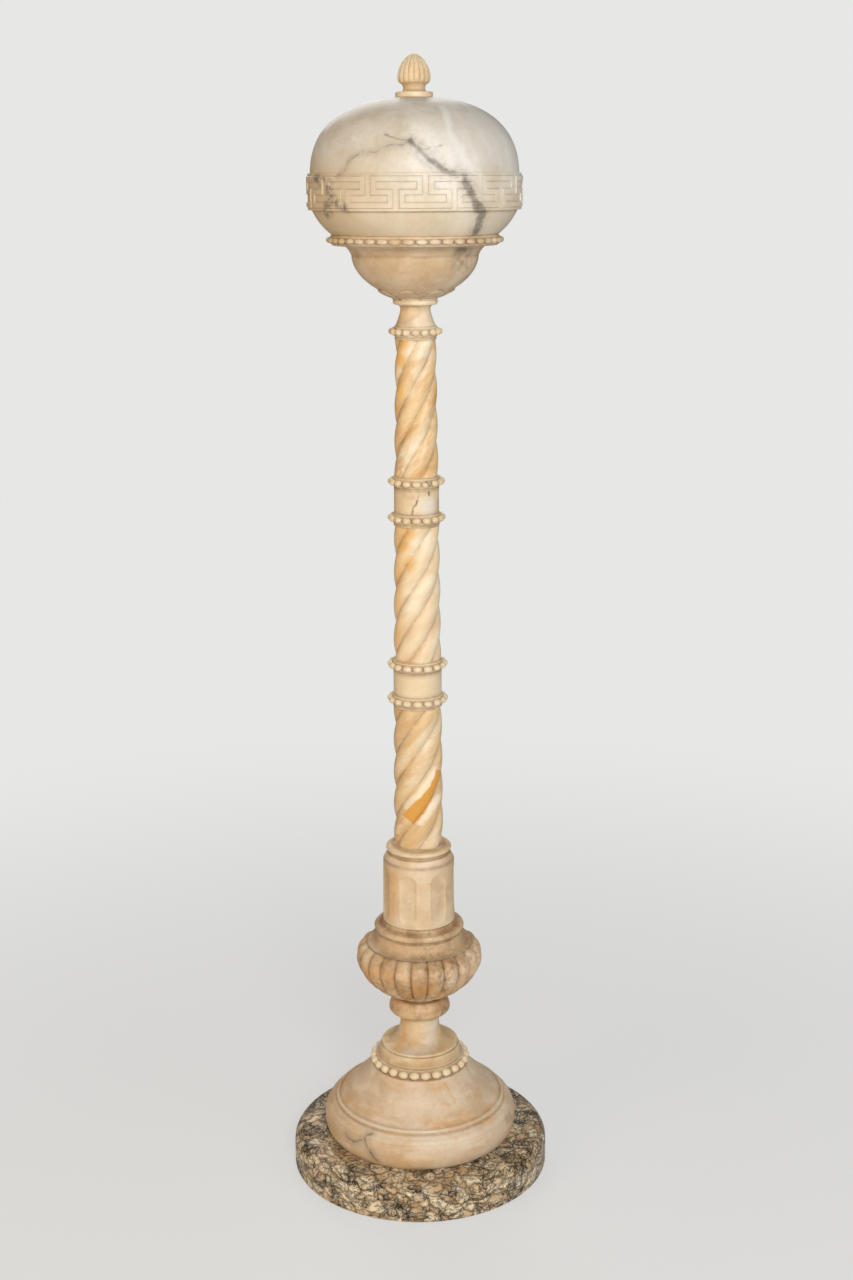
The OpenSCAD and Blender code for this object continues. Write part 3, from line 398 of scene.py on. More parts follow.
def collar_markings(place, colour):
    """A purple-grey vein down the upper collar, and a dark knot on the bead ring above it."""
    frayed = bent(bent(place, 60, 0.002), 190, 0.0012)
    colour = mixed((1 - axis(place, "Z").rise(0.85, 0.90)) * 0.45, colour, PALE_COLLAR)
    colour = mixed(close(near_spot(bent(place, 30, 0.006), COLLAR_MILK), 6, 22) * 0.6, colour, MILK)
    vein = stroke(frayed, 0.3, 2.1, COLLAR_VEIN) * (0.45 + noise(place, 110).rise(0.34, 0.60) * 0.55)
    twig = stroke(bent(frayed, 50, 0.004), 0.2, 5.5, COLLAR_TWIG) * 0.28
    knot = stroke(frayed, 0.5, 3.4, COLLAR_KNOT) * noise(place, 160, 4).rise(0.32, 0.52)
    colour = mixed(extreme("MAXIMUM", (vein, twig)) * 0.85, colour, PURPLE_VEIN)
    return mixed(knot * 0.85, colour, GREY_VEIN)


DRUM_STAIN = [(-36, -38, 466), (-36, -38, 455)]
DRUM_WASH = [(-40, -38, 495), (-44, -34, 430)]


def drum_markings(place, colour):
    """An orange spot in a paler orange wash at the left of the drum."""
    frayed = bent(place, 50, 0.006)
    wash = stroke(frayed, 3, 20, DRUM_WASH) * 0.45
    spot = stroke(frayed, 1, 8.5, DRUM_STAIN) * 0.8
    return mixed(extreme("MAXIMUM", (wash, spot)), colour, AMBER)


URN_MOTTLE = [(17, -76, 376), (35, -90, 361), (42, -87, 342), (52, -76, 365), (73, -57, 366)]
URN_STAIN = [(-81, -52, 339), (-33, -91, 349), (-21, -93, 342), (23, -78, 320)]
URN_GREY = paint(112, 90, 68)
PAINTED_LIGHT_COVE = paint(234, 206, 166)


def urn_markings(place, colour):
    """Orange stains low on the belly, painted light that makes the cove above it paler, and grey mottling on
    the lobes at the right.
    """
    frayed = bent(place, 30, 0.012)
    stain = stroke(frayed, 4, 22, URN_STAIN) * noise(place, 40).rise(0.42, 0.62)
    colour = mixed(stain * 0.55, colour, AMBER)
    # Painted light: the cove under the ring, where its shadow falls, is tinted paler.
    colour = mixed(axis(place, "Z").between(0.376, 0.379, 0.388, 0.394) * 0.45, colour, PAINTED_LIGHT_COVE)
    mottle = stroke(frayed, 8, 45, URN_MOTTLE) * noise(place, 110, 7, 0.74).rise(0.44, 0.66)
    return mixed(mottle * 0.62, colour, URN_GREY)


FOOT_LINE = [(30, -68, 173), (43, -76, 157), (53, -86, 144), (67, -104, 122)]
FOOT_SECOND_LINE = [(26, -74, 167), (34, -84, 154), (46, -99, 136)]
FOOT_GREY = [(-116, -95, 94), (-105, -110, 86), (-89, -120, 94), (-75, -121, 106)]
FOOT_GREY_TWIG = [(-85, -123, 96), (-80, -129, 85), (-67, -135, 69)]
FOOT_TAN = paint(206, 170, 126)
FOOT_CHALK = paint(248, 230, 202)


def foot_markings(place, colour):
    """Orange hairlines down the dome of the foot, chalky layers and a grey looping vein on its rim."""
    frayed = bent(bent(place, 28, 0.005), 120, 0.0022)
    side, height = axis(place, "X"), axis(place, "Z")
    fainter = near_line(frayed, FOOT_SECOND_LINE) + 0.0006
    lines = extreme("MINIMUM", (near_line(frayed, FOOT_LINE), fainter))
    colour = mixed(close(lines, 0.4, 2.6) * 0.6, colour, AMBER)
    # Painted shade: the left side of the foot is tinted tan. The next line tints the bottom of the rim tan
    # too.
    colour = mixed((side * -1).rise(0.04, 0.15) * 0.6, colour, FOOT_TAN)
    colour = mixed((1 - height.rise(0.085, 0.112)) * 0.4, colour, FOOT_TAN)
    colour = mixed(beds(frayed, 4.5, 12).rise(0.46, 0.66) * 0.42, colour, FOOT_CHALK)
    ledge = height.between(0.095, 0.112, 0.116, 0.130)
    colour = mixed(beds(frayed, 3.5, 16).rise(0.5, 0.7) * (0.2 + ledge * 0.45), colour, AMBER)
    grey = near_line(frayed, FOOT_GREY, FOOT_GREY_TWIG)
    dark = close(grey, 0.2, 4.4) * noise(place, 60, 4).rise(0.26, 0.54) * 0.85
    halo = close(grey, 1, 14) * 0.26
    return mixed(extreme("MAXIMUM", (dark, halo)), colour, GREY_VEIN)


NECK_AMBER = [(-25, -20, 243), (-29, -25, 224), (-38, -34, 211)]
NECK_WHITE = [(-14, -55, 207), (10, -48, 210), (18, -34, 221), (21, -24, 236)]


def neck_markings(place, colour):
    """An amber streak down the left of the neck and a white one that sweeps out over its foot."""
    frayed = bent(bent(place, 30, 0.006), 90, 0.002)
    colour = mixed(stroke(frayed, 2, 14, NECK_AMBER) * 0.55, colour, AMBER)
    return mixed(stroke(frayed, 1, 18, NECK_WHITE) * 0.45, colour, MILK)


# %% [markdown]
# ## Stone that follows the twist
# The shafts were cut from banded stone, and the bands run with the strands. Untwisting the place before
# the noise is read makes the streaks climb with the rope: the place is turned back about the axis by
# the twist at its height, and its height counts for little, so each cloud is long and thin.

# %% Streaks and amber strands of the shafts
TWIST_LEAD = 255 * MM
TWIST = 2 * math.pi / TWIST_LEAD
STREAK_LENGTH = 0.6
AMBER_STRAND = [(-21, -30, 580), (-13, -34, 591), (-3, -36, 602), (12, -35, 618), (24, -28, 635),
                (30, -21, 650), (33, -15, 663)]
AMBER_RUN = (0.598, 0.173, 0.783)
AMBER_ENDS = (0.4440, 0.5330)
AMBER_SIDE = [(-26, -17, 1038), (-30, -17, 960), (-33, -15, 860)]
AMBER_PATCHES = [(-19, -24, 1308), (-24, -18, 1284), (-14, -32, 1030), (-20, -29, 1012),
                 (-12, -32, 985), (-24, -18, 1240), (-26, -26, 800)]
HIGHLIGHT_ABOVE = [(-19, -31, 611), (0, -37, 630), (17, -32, 648), (26, -25, 664)]
HIGHLIGHT_BELOW = [(2, -36, 585), (17, -32, 600), (30, -20, 619)]
PALE_HONEY = paint(254, 240, 214)
TAN_HONEY = paint(226, 194, 150)
BRIGHT_AMBER = paint(230, 162, 58)
GOLD = paint(236, 176, 62)


def untwisted(place):
    back = {"Vector": place, "Angle": axis(place, "Z") * -TWIST}
    straight = place.node("ShaderNodeVectorRotate", back, rotation_type="Z_AXIS")
    return vector("MULTIPLY", straight, (1.0, 1.0, STREAK_LENGTH))


def shaft_markings(place, colour):
    """One bright amber strand low on the column, with painted highlights on its pale flanks, and gold patches
    under the bead rings.
    """
    frayed = bent(place, 60, 0.004)
    height = axis(place, "Z")
    colour = mixed(height.between(0.82, 0.86, 1.02, 1.08) * 0.4, colour, PALE_HONEY)
    colour = mixed((1 - height.rise(0.74, 0.80)) * 0.3, colour, TAN_HONEY)
    colour = mixed(stroke(frayed, 4, 22, AMBER_SIDE) * 0.42, colour, GOLD)
    # Painted highlights: pale flanks above and below the amber strand.
    colour = mixed(stroke(frayed, 2, 9, HIGHLIGHT_ABOVE, HIGHLIGHT_BELOW) * 0.75, colour, PALE_HONEY)
    along = vector("DOT_PRODUCT", bent(place, 60, 0.0012), AMBER_RUN, out=1)
    first, last = AMBER_ENDS
    gap = near_line(bent(place, 60, 0.0015), AMBER_STRAND) + along.rise(first, last) * 0.0022
    strand = close(gap, 10.6, 13) * along.between(first, first + 0.002, last, last + 0.003)
    colour = mixed(strand * (0.7 + noise(frayed, 90, 4) * 0.4), colour, BRIGHT_AMBER)
    for spot in AMBER_PATCHES:
        colour = mixed(close(near_spot(frayed, spot), 3, 17) * 0.62, colour, GOLD)
    return colour


# %% Make the alabasters
cream = alabaster("cream", (248, 232, 204), (238, 213, 174), (218, 186, 142), stain=0.3, grime_and_shade=0.62)
honey = alabaster("honey", (252, 238, 210), (243, 214, 168), (222, 178, 120), stain=0.55, veins=0.35,
                  coarse=2.2, grime_and_shade=0.5, patchy=0.9, coords=untwisted, markings=shaft_markings)
collar_stone = alabaster("collar", (248, 234, 208), (238, 215, 178), (222, 194, 152), stain=0.15,
                         markings=collar_markings)
drum_stone = alabaster("drum", (244, 226, 200), (234, 210, 176), (216, 186, 146), stain=0.25,
                       markings=drum_markings)
urn_stone = alabaster("urn", (236, 210, 174), (214, 180, 138), (176, 136, 94), stain=0.34, veins=0.6,
                      coarse=1.8, markings=urn_markings)
foot_stone = alabaster("foot", (240, 224, 202), (232, 211, 184), (212, 180, 142), stain=0.35, veins=0.45,
                       grime_and_shade=0.42, markings=foot_markings)
bowl_stone = alabaster("bowl", (234, 216, 190), (222, 200, 170), (200, 170, 132), stain=0.2,
                       markings=bowl_markings)
shade_stone = alabaster("shade", (246, 241, 232), (230, 221, 207), (212, 198, 176), stain=0.08, veins=0.22,
                        coarse=0.9, grime_and_shade=0.5, markings=shade_markings)
finial_stone = alabaster("finial", (252, 238, 210), (244, 222, 184), (226, 194, 150), stain=0.3, grime_and_shade=0.55)
neck_stone = alabaster("neck", (242, 222, 186), (229, 200, 154), (204, 167, 118), stain=0.45, veins=0.4,
                       markings=neck_markings)
print("shaft stone", honey.name, len(honey.node_tree.nodes), "nodes")

# %% [markdown]
# ## The breccia marble
# The plinth is breccia: broken pieces of cream and peach marble, cemented by a dark network. A Voronoi
# texture cuts space into such pieces, and its distance to the edge draws the network. Two sizes of
# cells, both on bent places, give large pieces and the small rubble between them.

# %% The breccia recipe
FRAGMENT_PALE = paint(250, 228, 188)
FRAGMENT_TAN = paint(212, 178, 134)
FRAGMENT_WHITE = paint(244, 234, 214)
FRAGMENT_EDGE = paint(118, 92, 64)
RUBBLE = paint(92, 76, 56)
CEMENT = paint(20, 15, 10)
LARGE_CELLS = 40
SMALL_CELLS = 105


def breccia(name):
    made, shader, place = new_material(name)
    ragged = vector("SUBTRACT", noise(place, 42, 7, 0.72, out=1), (0.5, 0.5, 0.5))
    p = vector("ADD", vector("MULTIPLY", bent(place, 12, 0.016), (1.0, 1.0, 1.6)),
               vector("MULTIPLY", ragged, (0.019, 0.019, 0.016)))

    def cells(scale, feature="DISTANCE_TO_EDGE", out="Distance"):
        sizes = {"Vector": p, "Scale": scale, "Randomness": 1.0}
        return p.node("ShaderNodeTexVoronoi", sizes, out=out, feature=feature)

    tint = cells(LARGE_CELLS, "F1", "Color")
    tint = tint.node("ShaderNodeSeparateColor", {0: tint}, out=0)
    colour = mixed(tint.rise(0.1, 0.9), FRAGMENT_PALE, FRAGMENT_TAN)
    colour = mixed(noise(p, 60, 5, 0.65).rise(0.47, 0.66) * 0.75, colour, FRAGMENT_WHITE)
    edge = cells(LARGE_CELLS)
    colour = mixed((1 - edge.rise(0.0, 0.24)) * 0.45, colour, FRAGMENT_EDGE)
    broken = beds(bent(place, 20, 0.02), 2.0, 22, roughness=0.62)
    large = (1 - edge.rise(0.006, 0.050)) * (0.5 + broken.rise(0.38, 0.54) * 0.5)
    small = (1 - cells(SMALL_CELLS).rise(0.01, 0.12)) * broken.rise(0.44, 0.56)
    threads = 1 - abs(beds(p, 1.5, 40, detail=6, roughness=0.7) * 2 - 1)
    network = extreme("MAXIMUM", (large, small, threads.rise(0.935, 0.985) * 0.85))
    colour = mixed(broken.rise(0.52, 0.66) * 0.55, colour, RUBBLE)
    colour = mixed(network, colour, CEMENT)
    polish = noise(place, 300, 3)
    join(shader, Base_Color=colour, Roughness=0.24 + network * 0.2 + polish * 0.1,
         Normal=bump(polish - network * 0.6, 0.1, 0.0006), Specular_IOR_Level=0.3)
    return made


marble = breccia("breccia_plinth")
print("marble", marble.name, len(marble.node_tree.nodes), "nodes")

# %% [markdown]
# ## Metal, glass, porcelain and felt
# The inner fittings show only when the globe is lifted. Brass tarnishes brown in patches, steel is
# brushed along its length, the lampholder's core is glazed porcelain with fine specks, the bulb is opal
# glass and the underside of the plinth is lined with felt. Each gets its own small recipe.

# %% Recipes for the fittings
def metal(name, bright, dull, rough, stretch):
    made, shader, place = new_material(name)
    tarnish = noise(place, 140, 5).rise(0.42, 0.68)
    brushed = beds(place, stretch, 700, detail=3, roughness=0.55)
    join(shader, Base_Color=mixed(tarnish * 0.7, paint(*bright), paint(*dull)), Metallic=1.0,
         Roughness=rough + tarnish * 0.18 + brushed * 0.1, Normal=bump(brushed, 0.12, 0.0003))
    return made


def speckled(name, body, specks, rough, scale, amount, depth, **more):
    """A plain body with specks: their scale, how strong they are and how deep the bump is."""
    made, shader, place = new_material(name)
    fleck = noise(place, scale, 5, 0.7)
    join(shader, Base_Color=mixed(fleck.rise(0.5, 0.68) * amount, paint(*body), paint(*specks)),
         Roughness=rough + fleck * 0.08, Normal=bump(fleck, depth, 0.0005), **more)
    return made


brass = metal("aged_brass", (214, 176, 96), (138, 100, 50), 0.26, 0.12)
steel = metal("brushed_steel", (196, 196, 198), (128, 124, 118), 0.3, 0.06)
porcelain = speckled("glazed_porcelain", (238, 234, 224), (206, 196, 178), 0.12, 900, 0.5, 0.03)
opal = speckled("opal_bulb_glass", (244, 242, 236), (232, 228, 218), 0.3, 60, 0.4, 0.01, Coat_Weight=0.4)
black_glass = speckled("black_bulb_glass", (26, 25, 24), (48, 46, 44), 0.14, 300, 0.6, 0.03)
felt = speckled("green_felt", (52, 70, 44), (84, 100, 70), 0.9, 1600, 0.8, 0.6, Sheen_Weight=0.3)
print("fittings", [m.name for m in (brass, steel, porcelain, opal, black_glass, felt)])

# %% [markdown]
# ## Outlines for the lathe
# Every stone started on a lathe, so its main shape is an outline spun about the axis. Outlines are made
# of arcs, bends and straight steps, in millimetres from the underside of the stone. The corners are
# then softened, because stone that has been handled for a hundred years has no sharp edge.

# %% Arcs, bends and softened corners
def arc(centre, wide, high, start, end, power=2.0, steps=16):
    """Part of an ellipse, or of a fuller or leaner one, between two angles in degrees."""
    t = np.radians(np.linspace(start, end, steps + 1))
    c = np.sign(np.cos(t)) * np.abs(np.cos(t)) ** (2 / power)
    s = np.sign(np.sin(t)) * np.abs(np.sin(t)) ** (2 / power)
    return np.stack([centre[0] + wide * c, centre[1] + high * s], axis=1)


def bend(start, pull, end, steps=16):
    """A smooth bend that leaves the start towards the pull and arrives at the end from it."""
    t = np.linspace(0, 1, steps + 1)[:, None]
    return (1 - t) ** 2 * np.array(start) + 2 * t * (1 - t) * np.array(pull) + t ** 2 * np.array(end)


def distances(points):
    """How far each point of an outline lies from its start, measured along it."""
    return np.append(0, np.cumsum(np.linalg.norm(np.diff(points, axis=0), axis=1)))


CORNER_LIMIT = math.radians(14)
CORNER_SHARE = 0.45
CORNER_STEPS = 5


def soften(outline, radius):
    """Round each corner of an outline that turns by more than the limit."""
    points = np.vstack([np.atleast_2d(part) for part in outline]).astype(float)
    points = points[np.append(True, np.diff(distances(points)) > 1e-6)]
    soft = [points[0]]
    for before, corner, after in zip(points, points[1:], points[2:]):
        back, ahead = before - corner, after - corner
        back_len, ahead_len = np.linalg.norm(back), np.linalg.norm(ahead)
        turn = math.pi - math.acos(np.clip(back @ ahead / back_len / ahead_len, -1, 1))
        if turn < CORNER_LIMIT:
            soft.append(corner)
            continue
        start = corner + back * min(radius / back_len, CORNER_SHARE)
        end = corner + ahead * min(radius / ahead_len, CORNER_SHARE)
        soft.extend(bend(start, corner, end, CORNER_STEPS))
    return np.array([*soft, points[-1]])


def dense(points, step):
    """The same outline with extra points, so that no stretch is longer than the step."""
    fine = [points[0]]
    for start, end in zip(points, points[1:]):
        count = max(1, math.ceil(np.linalg.norm(end - start) / step))
        fine.extend(start + (end - start) * k / count for k in range(1, count + 1))
    return np.array(fine)


# %% [markdown]
# ## The lathe
# The lathe spins an outline into a closed mesh with a bore down its middle. While it does, it reads
# where the outline turns outwards and where it turns inwards, and stores that on the mesh as the marks
# edge and hollow for the finishes; hollow becomes dirt and painted shade. A joint between two stones
# also gathers dirt and lies in shade, so the two ends of an outline are marked as hollow too, which
# paints dirt and shade there. A twist turns each row a little further than the one below it.

# %% Spin an outline
BORE = 5.4
SIDES = 192
WIDE_SIDES = 224
WIDEST_SIDES = 256
REACH = 2.6
FULL_HOLLOW = 1.3
FULL_EDGE = 1.6
SEAM = 1.0
SEAM_DIRT_AND_SHADE = 0.6
SHARP = math.radians(42)


def wear(points, seams):
    """How hollow and how exposed each point of an outline is."""
    run = distances(points)
    heading = np.unwrap(np.arctan2(*np.diff(points, axis=0).T[::-1]))
    turn = np.zeros(len(points))
    turn[1:-1] = np.diff(heading)
    near = np.exp(-((run[:, None] - run[None, :]) / REACH) ** 2)
    # Inward turns are marked hollow, for dirt and painted shade in the creases.
    hollow = np.clip(near @ np.clip(-turn, 0, None) / FULL_HOLLOW, 0, 1)
    edge = np.clip(near @ np.clip(turn, 0, None) / FULL_EDGE, 0, 1)
    r, z = points.T
    # Dirt and painted shade at the joints: both ends of the outline, and the overhang beside them, are marked
    # hollow.
    for height, used in zip((z.min(), z.max()), seams):
        rim = r[np.abs(z - height) < 0.05].max()
        gap = np.hypot(z - height, np.clip(rim - r, 0, None) * 0.5)
        seam = used * np.exp(-(gap / SEAM) ** 2)
        hollow = np.maximum(hollow, SEAM_DIRT_AND_SHADE * seam)
        edge = edge * (1 - seam)
    return hollow, edge


def polar(radius, theta, z):
    """Points from their distance to the axis, their angle about it and their height."""
    return np.stack(np.broadcast_arrays(radius * np.cos(theta), radius * np.sin(theta), z), -1)


def grid_faces(index):
    """The faces between neighbours in a grid of point numbers."""
    return np.stack([index[:-1, :-1], index[:-1, 1:], index[1:, 1:], index[1:, :-1]], -1).reshape(-1, 4)


def wrapped(index):
    """The same grid with its first column again after the last, to go all round."""
    return np.hstack([index, index[:, :1]])


def new_mesh(name, verts, faces):
    mesh = bpy.data.meshes.new(name)
    mesh.from_pydata(verts, [], faces)
    return mesh


def smooth(mesh):
    """Smooth what is round and leave true corners sharp."""
    mesh.shade_smooth()
    mesh.set_sharp_from_angle(angle=SHARP)


def built(name, verts, faces, marks):
    """An object from points and faces, with marks on its points and its doubles merged."""
    mesh = new_mesh(name, verts.reshape(-1, 3).tolist(), faces.tolist())
    for label, values in marks.items():
        layer = mesh.attributes.new(label, "FLOAT", "POINT")
        layer.data.foreach_set("value", np.asarray(values, np.float32).ravel())
    work = bmesh.new()
    work.from_mesh(mesh)
    bmesh.ops.remove_doubles(work, verts=work.verts, dist=1e-6)
    work.to_mesh(mesh)
    work.free()
    smooth(mesh)
    return bpy.data.objects.new(name, mesh)


def turned(name, node, outline, sides=SIDES, twist=0.0, angles=None, closed=True, seams=(1, 1), extra=None):
    """Spin an outline, given in millimetres above the node's underside, about the axis."""
    points = np.asarray(outline, float)
    spin = np.linspace(0, 2 * math.pi, sides, endpoint=False) if angles is None else np.asarray(angles)
    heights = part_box(node)[0].z + points[:, 1:] * MM
    verts = polar(points[:, :1] * MM, spin[None, :] + twist * heights, heights)
    index = np.arange(verts.size // 3).reshape(verts.shape[:2])
    if closed:
        index = np.vstack([index, index[:1]])
    hollow, edge = wear(points, seams)
    marks = {"hollow": hollow, "edge": edge, **(extra or {})}
    marks = {label: np.repeat(values, len(spin)) for label, values in marks.items()}
    return link(built(name, verts, grid_faces(wrapped(index)), marks))


def size(node):
    """Height and outer radius of a node in millimetres."""
    low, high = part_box(node)
    return (high.z - low.z) / MM, max(high.x, high.y) / MM


pieces = {}


def keep(node, made, stone):
    """Remember the piece that stands for a node, with its finish."""
    made.data.materials.clear()
    made.data.materials.append(stone)
    pieces[node] = made
    print(f"{node}: {len(made.data.polygons)} faces")


# %% [markdown]
# ## Two trees for carving
# After turning came carving. Two small Geometry Nodes trees do all of it. The first cuts lobes or flutes
# round a turned stone: for each point it finds how far it lies from the middle of the nearest lobe, makes
# a round bulge of that, and draws the point towards the axis where the bulge ends. The mesh says with the
# mark carve where to cut at all, and with the mark cap where a lobe rounds off at its end.

# %% Tree that carves lobes and flutes
def new_tree(name, **inputs):
    """A Geometry Nodes tree with named inputs and their usual values: the tree and a wire for each input."""
    tree = bpy.data.node_groups.new(name, "GeometryNodeTree")
    tree.interface.new_socket("Geometry", in_out="OUTPUT", socket_type="NodeSocketGeometry")
    tree.interface.new_socket("Geometry", in_out="INPUT", socket_type="NodeSocketGeometry")
    for label, usual in {**inputs, "Finish": "Material"}.items():
        kind = usual if isinstance(usual, str) else type(usual).__name__.capitalize()
        socket = tree.interface.new_socket(label, in_out="INPUT", socket_type="NodeSocket" + kind)
        if kind != usual:
            socket.default_value = usual
    source = tree.nodes.new("NodeGroupInput")
    return tree, {s.name: Wire(tree, s) for s in source.outputs if s.name}


def end_tree(tree, geometry, finish):
    """Realize the instances, set the material and leave the tree."""
    real = geometry.node("GeometryNodeRealizeInstances", {0: geometry})
    done = real.node("GeometryNodeSetMaterial", {"Geometry": real, "Material": finish})
    leave = tree.nodes.new("NodeGroupOutput")
    tree.links.new(done.socket, leave.inputs[0])


# How strongly the valleys of lobes and the middles of flutes get dirt and painted shade.
VALLEY_POWER = 3.0
VALLEY_DIRT_AND_SHADE = 0.75
FLUTE_DIRT_AND_SHADE = 0.15


def carving_tree():
    tree, ins = new_tree("carve_round", Lobes=1, Depth=0.0, Twist=0.0, Start=0.0, Width=1.0, Fullness=1.0,
                         Sunk=0.0)
    stone = ins["Geometry"]
    place = stone.node("GeometryNodeInputPosition")
    x = axis(place, "X")
    angle = x.other("Y").math("ARCTAN2", x) - ins["Start"] - x.other("Z") * ins["Twist"]
    turns = angle * ins["Lobes"] / (2 * math.pi)
    across = (turns - turns.math("ROUND")) * 2 / ins["Width"]

    def stored(name):
        return stone.node("GeometryNodeInputNamedAttribute", {"Name": name}, data_type="FLOAT")

    cap = stored("cap")
    off = (across * across + cap * cap).math("MINIMUM", 1.0)
    bulge = (1 - off) ** ins["Fullness"]
    valley = 1 - bulge
    cut = stored("carve") * (valley + ins["Sunk"] * (bulge - valley))
    flat = place.node("ShaderNodeCombineXYZ", {"X": x, "Y": x.other("Y")})
    outward = flat.node("ShaderNodeVectorMath", {0: flat}, operation="NORMALIZE")
    shift = scaled(outward, cut * ins["Depth"] * -1)
    # Dirt and painted shade: the valleys between lobes, and the sunk middles of flutes, are marked hollow, so
    # the finish darkens them.
    dirt_and_shade = valley ** VALLEY_POWER * (1 - ins["Sunk"]) + bulge * ins["Sunk"] * FLUTE_DIRT_AND_SHADE
    hollow_dirt_and_shade = stored("hollow").math("MAXIMUM", stored("carve") * dirt_and_shade * VALLEY_DIRT_AND_SHADE)
    hollow = {"Geometry": stone, "Name": "hollow", "Value": hollow_dirt_and_shade}
    marked = stone.node("GeometryNodeStoreNamedAttribute", hollow, data_type="FLOAT", domain="POINT")
    moved = marked.node("GeometryNodeSetPosition", {"Geometry": marked, "Offset": shift})
    end_tree(tree, moved, ins["Finish"])
    return tree


carve_round = carving_tree()
print("carve_round", len(carve_round.nodes), "nodes")

# %% [markdown]
# The second tree repeats a small carved piece round the axis: beads, leaves, or one length of the key
# pattern. It sets out the points on a circle, places the piece on each of them, facing outwards, with a
# slight seeded difference in size and turn as a carver's hand leaves it, and joins all to the stone.

# %% Tree that repeats a piece round the axis
TURN_SHARE = 0.3


def repeating_tree():
    tree, ins = new_tree("repeat_round", Piece="Object", Count=1, Radius=0.0, Height=0.0, Start=0.0,
                         Uneven=0.0, Seed=1, Weld=0.0)
    stone = ins["Geometry"]
    order = stone.node("GeometryNodeInputIndex")
    angle = order * (2 * math.pi) / ins["Count"] + ins["Start"]
    spot = angle.node("ShaderNodeCombineXYZ", {"X": angle.math("COSINE") * ins["Radius"],
                                               "Y": angle.math("SINE") * ins["Radius"], "Z": ins["Height"]})
    points = stone.node("GeometryNodePoints", {"Count": ins["Count"], "Position": spot})

    def drawn(step):
        """A seeded number from -1 to 1 for each copy. Inputs 2 and 3 are its limits, 7 ID and 8 Seed."""
        inputs = {2: -1.0, 3: 1.0, 7: order, 8: ins["Seed"] + step}
        return stone.node("FunctionNodeRandomValue", inputs, out=1, data_type="FLOAT")

    tilt = drawn(0) * ins["Uneven"]
    grow = drawn(7) * ins["Uneven"] + 1
    facing = angle.node("ShaderNodeCombineXYZ", {"X": tilt, "Z": angle + tilt * TURN_SHARE})
    shape = stone.node("GeometryNodeObjectInfo", {"Object": ins["Piece"]}, out="Geometry")
    copies = points.node("GeometryNodeInstanceOnPoints", {"Points": points, "Instance": shape,
                                                          "Rotation": facing, "Scale": grow})
    real = copies.node("GeometryNodeRealizeInstances", {0: copies})
    both = stone.node("GeometryNodeJoinGeometry", {0: stone})
    tree.links.new(real.socket, both.socket.node.inputs[0])
    welded = both.node("GeometryNodeMergeByDistance", {"Geometry": both, "Distance": ins["Weld"]})
    end_tree(tree, welded, ins["Finish"])
    return tree


repeat_round = repeating_tree()
print("repeat_round", len(repeat_round.nodes), "nodes")


# %% Run trees and keep plain meshes
def applied(made):
    """Replace an object's mesh by what its modifiers make of it."""
    solid = made.evaluated_get(bpy.context.evaluated_depsgraph_get())
    mesh = bpy.data.meshes.new_from_object(solid)
    made.modifiers.clear()
    made.data = mesh
    return mesh


def carved(made, stone, *steps):
    """Run trees on an object in turn, and keep the result as its plain mesh."""
    for tree, sizes in steps:
        values = {**sizes, "Finish": stone}
        modifier = made.modifiers.new(tree.name, "NODES")
        modifier.node_group = tree
        for item in tree.interface.items_tree:
            if item.in_out == "INPUT" and item.name in values:
                modifier[item.identifier] = values[item.name]
    smooth(applied(made))


# %% [markdown]
# ## Plinth and foot
# The plinth is a thick marble disc with a round top edge, hollowed below for the nut that clamps the
# stack. The lead enters at its back, so a hole is cut there with a Boolean modifier, the simplest way to
# cut a round hole across a turned shape. The foot has a full rim, a thin ridge and a dome that rises to
# the bead ring in a slight hollow curve.

# %% Turn the plinth
PLINTH_ROUND = 18
PLINTH_RECESS = (40, 20)
INLET_Z = 13
INLET_R = 6.4
INLET_SEAT_R = 8.9
INLET_SEAT_Y = 198
DRILL_FROM = 20
DRILL_TO = 230


def rod(name, radius, start, end, z, sides=48):
    """A closed cylinder along Y, used as a drill; half a facet's turn keeps it off the plinth's columns."""
    work = bmesh.new()
    place = (Matrix.Translation((0, (start + end) / 2 * MM, z * MM)) @ Matrix.Rotation(math.pi / 2, 4, "X")
             @ Matrix.Rotation(math.pi / sides, 4, "Z"))
    bmesh.ops.create_cone(work, cap_ends=True, segments=sides, radius1=radius * MM, radius2=radius * MM,
                          depth=(end - start) * MM, matrix=place)
    mesh = bpy.data.meshes.new(name)
    work.to_mesh(mesh)
    work.free()
    return link(bpy.data.objects.new(name, mesh))


def cut_with(made, cutters):
    """Take the cutters away from an object, and delete them."""
    for cutter in cutters:
        modifier = made.modifiers.new("cut", "BOOLEAN")
        modifier.object = cutter
        modifier.solver = "EXACT"
    applied(made).set_sharp_from_angle(angle=SHARP)
    for cutter in cutters:
        bpy.data.objects.remove(cutter)


high, wide = size("marble_plinth")
recess_r, recess_h = PLINTH_RECESS
outline = soften([(recess_r, 0), (wide - 1, 0), (wide, 1),
                  arc((wide - PLINTH_ROUND, high - PLINTH_ROUND), PLINTH_ROUND, PLINTH_ROUND, 0, 90),
                  (BORE, high), (BORE, recess_h), (recess_r, recess_h)], 0.8)
plinth = turned("turned_plinth", "marble_plinth", outline, sides=WIDEST_SIDES, seams=(0, 0))
cut_with(plinth, [rod("lead_drill", INLET_R, DRILL_FROM, DRILL_TO, INLET_Z),
                  rod("seat_drill", INLET_SEAT_R, INLET_SEAT_Y, DRILL_TO, INLET_Z)])
keep("marble_plinth", plinth, marble)

# %% Turn the foot
FOOT_UNDER = 14
FOOT_RIM_MID = 26
FOOT_RIM_H = 55
FOOT_SWELL = 18
FOOT_RIDGE_H = 7
FOOT_RIDGE_OUT = 3.5
FOOT_SCORES = (9, 19)
SCORE_DEEP = 0.35
SCORE_WIDE = 1.8
FOOT_TOP_R = 76.6


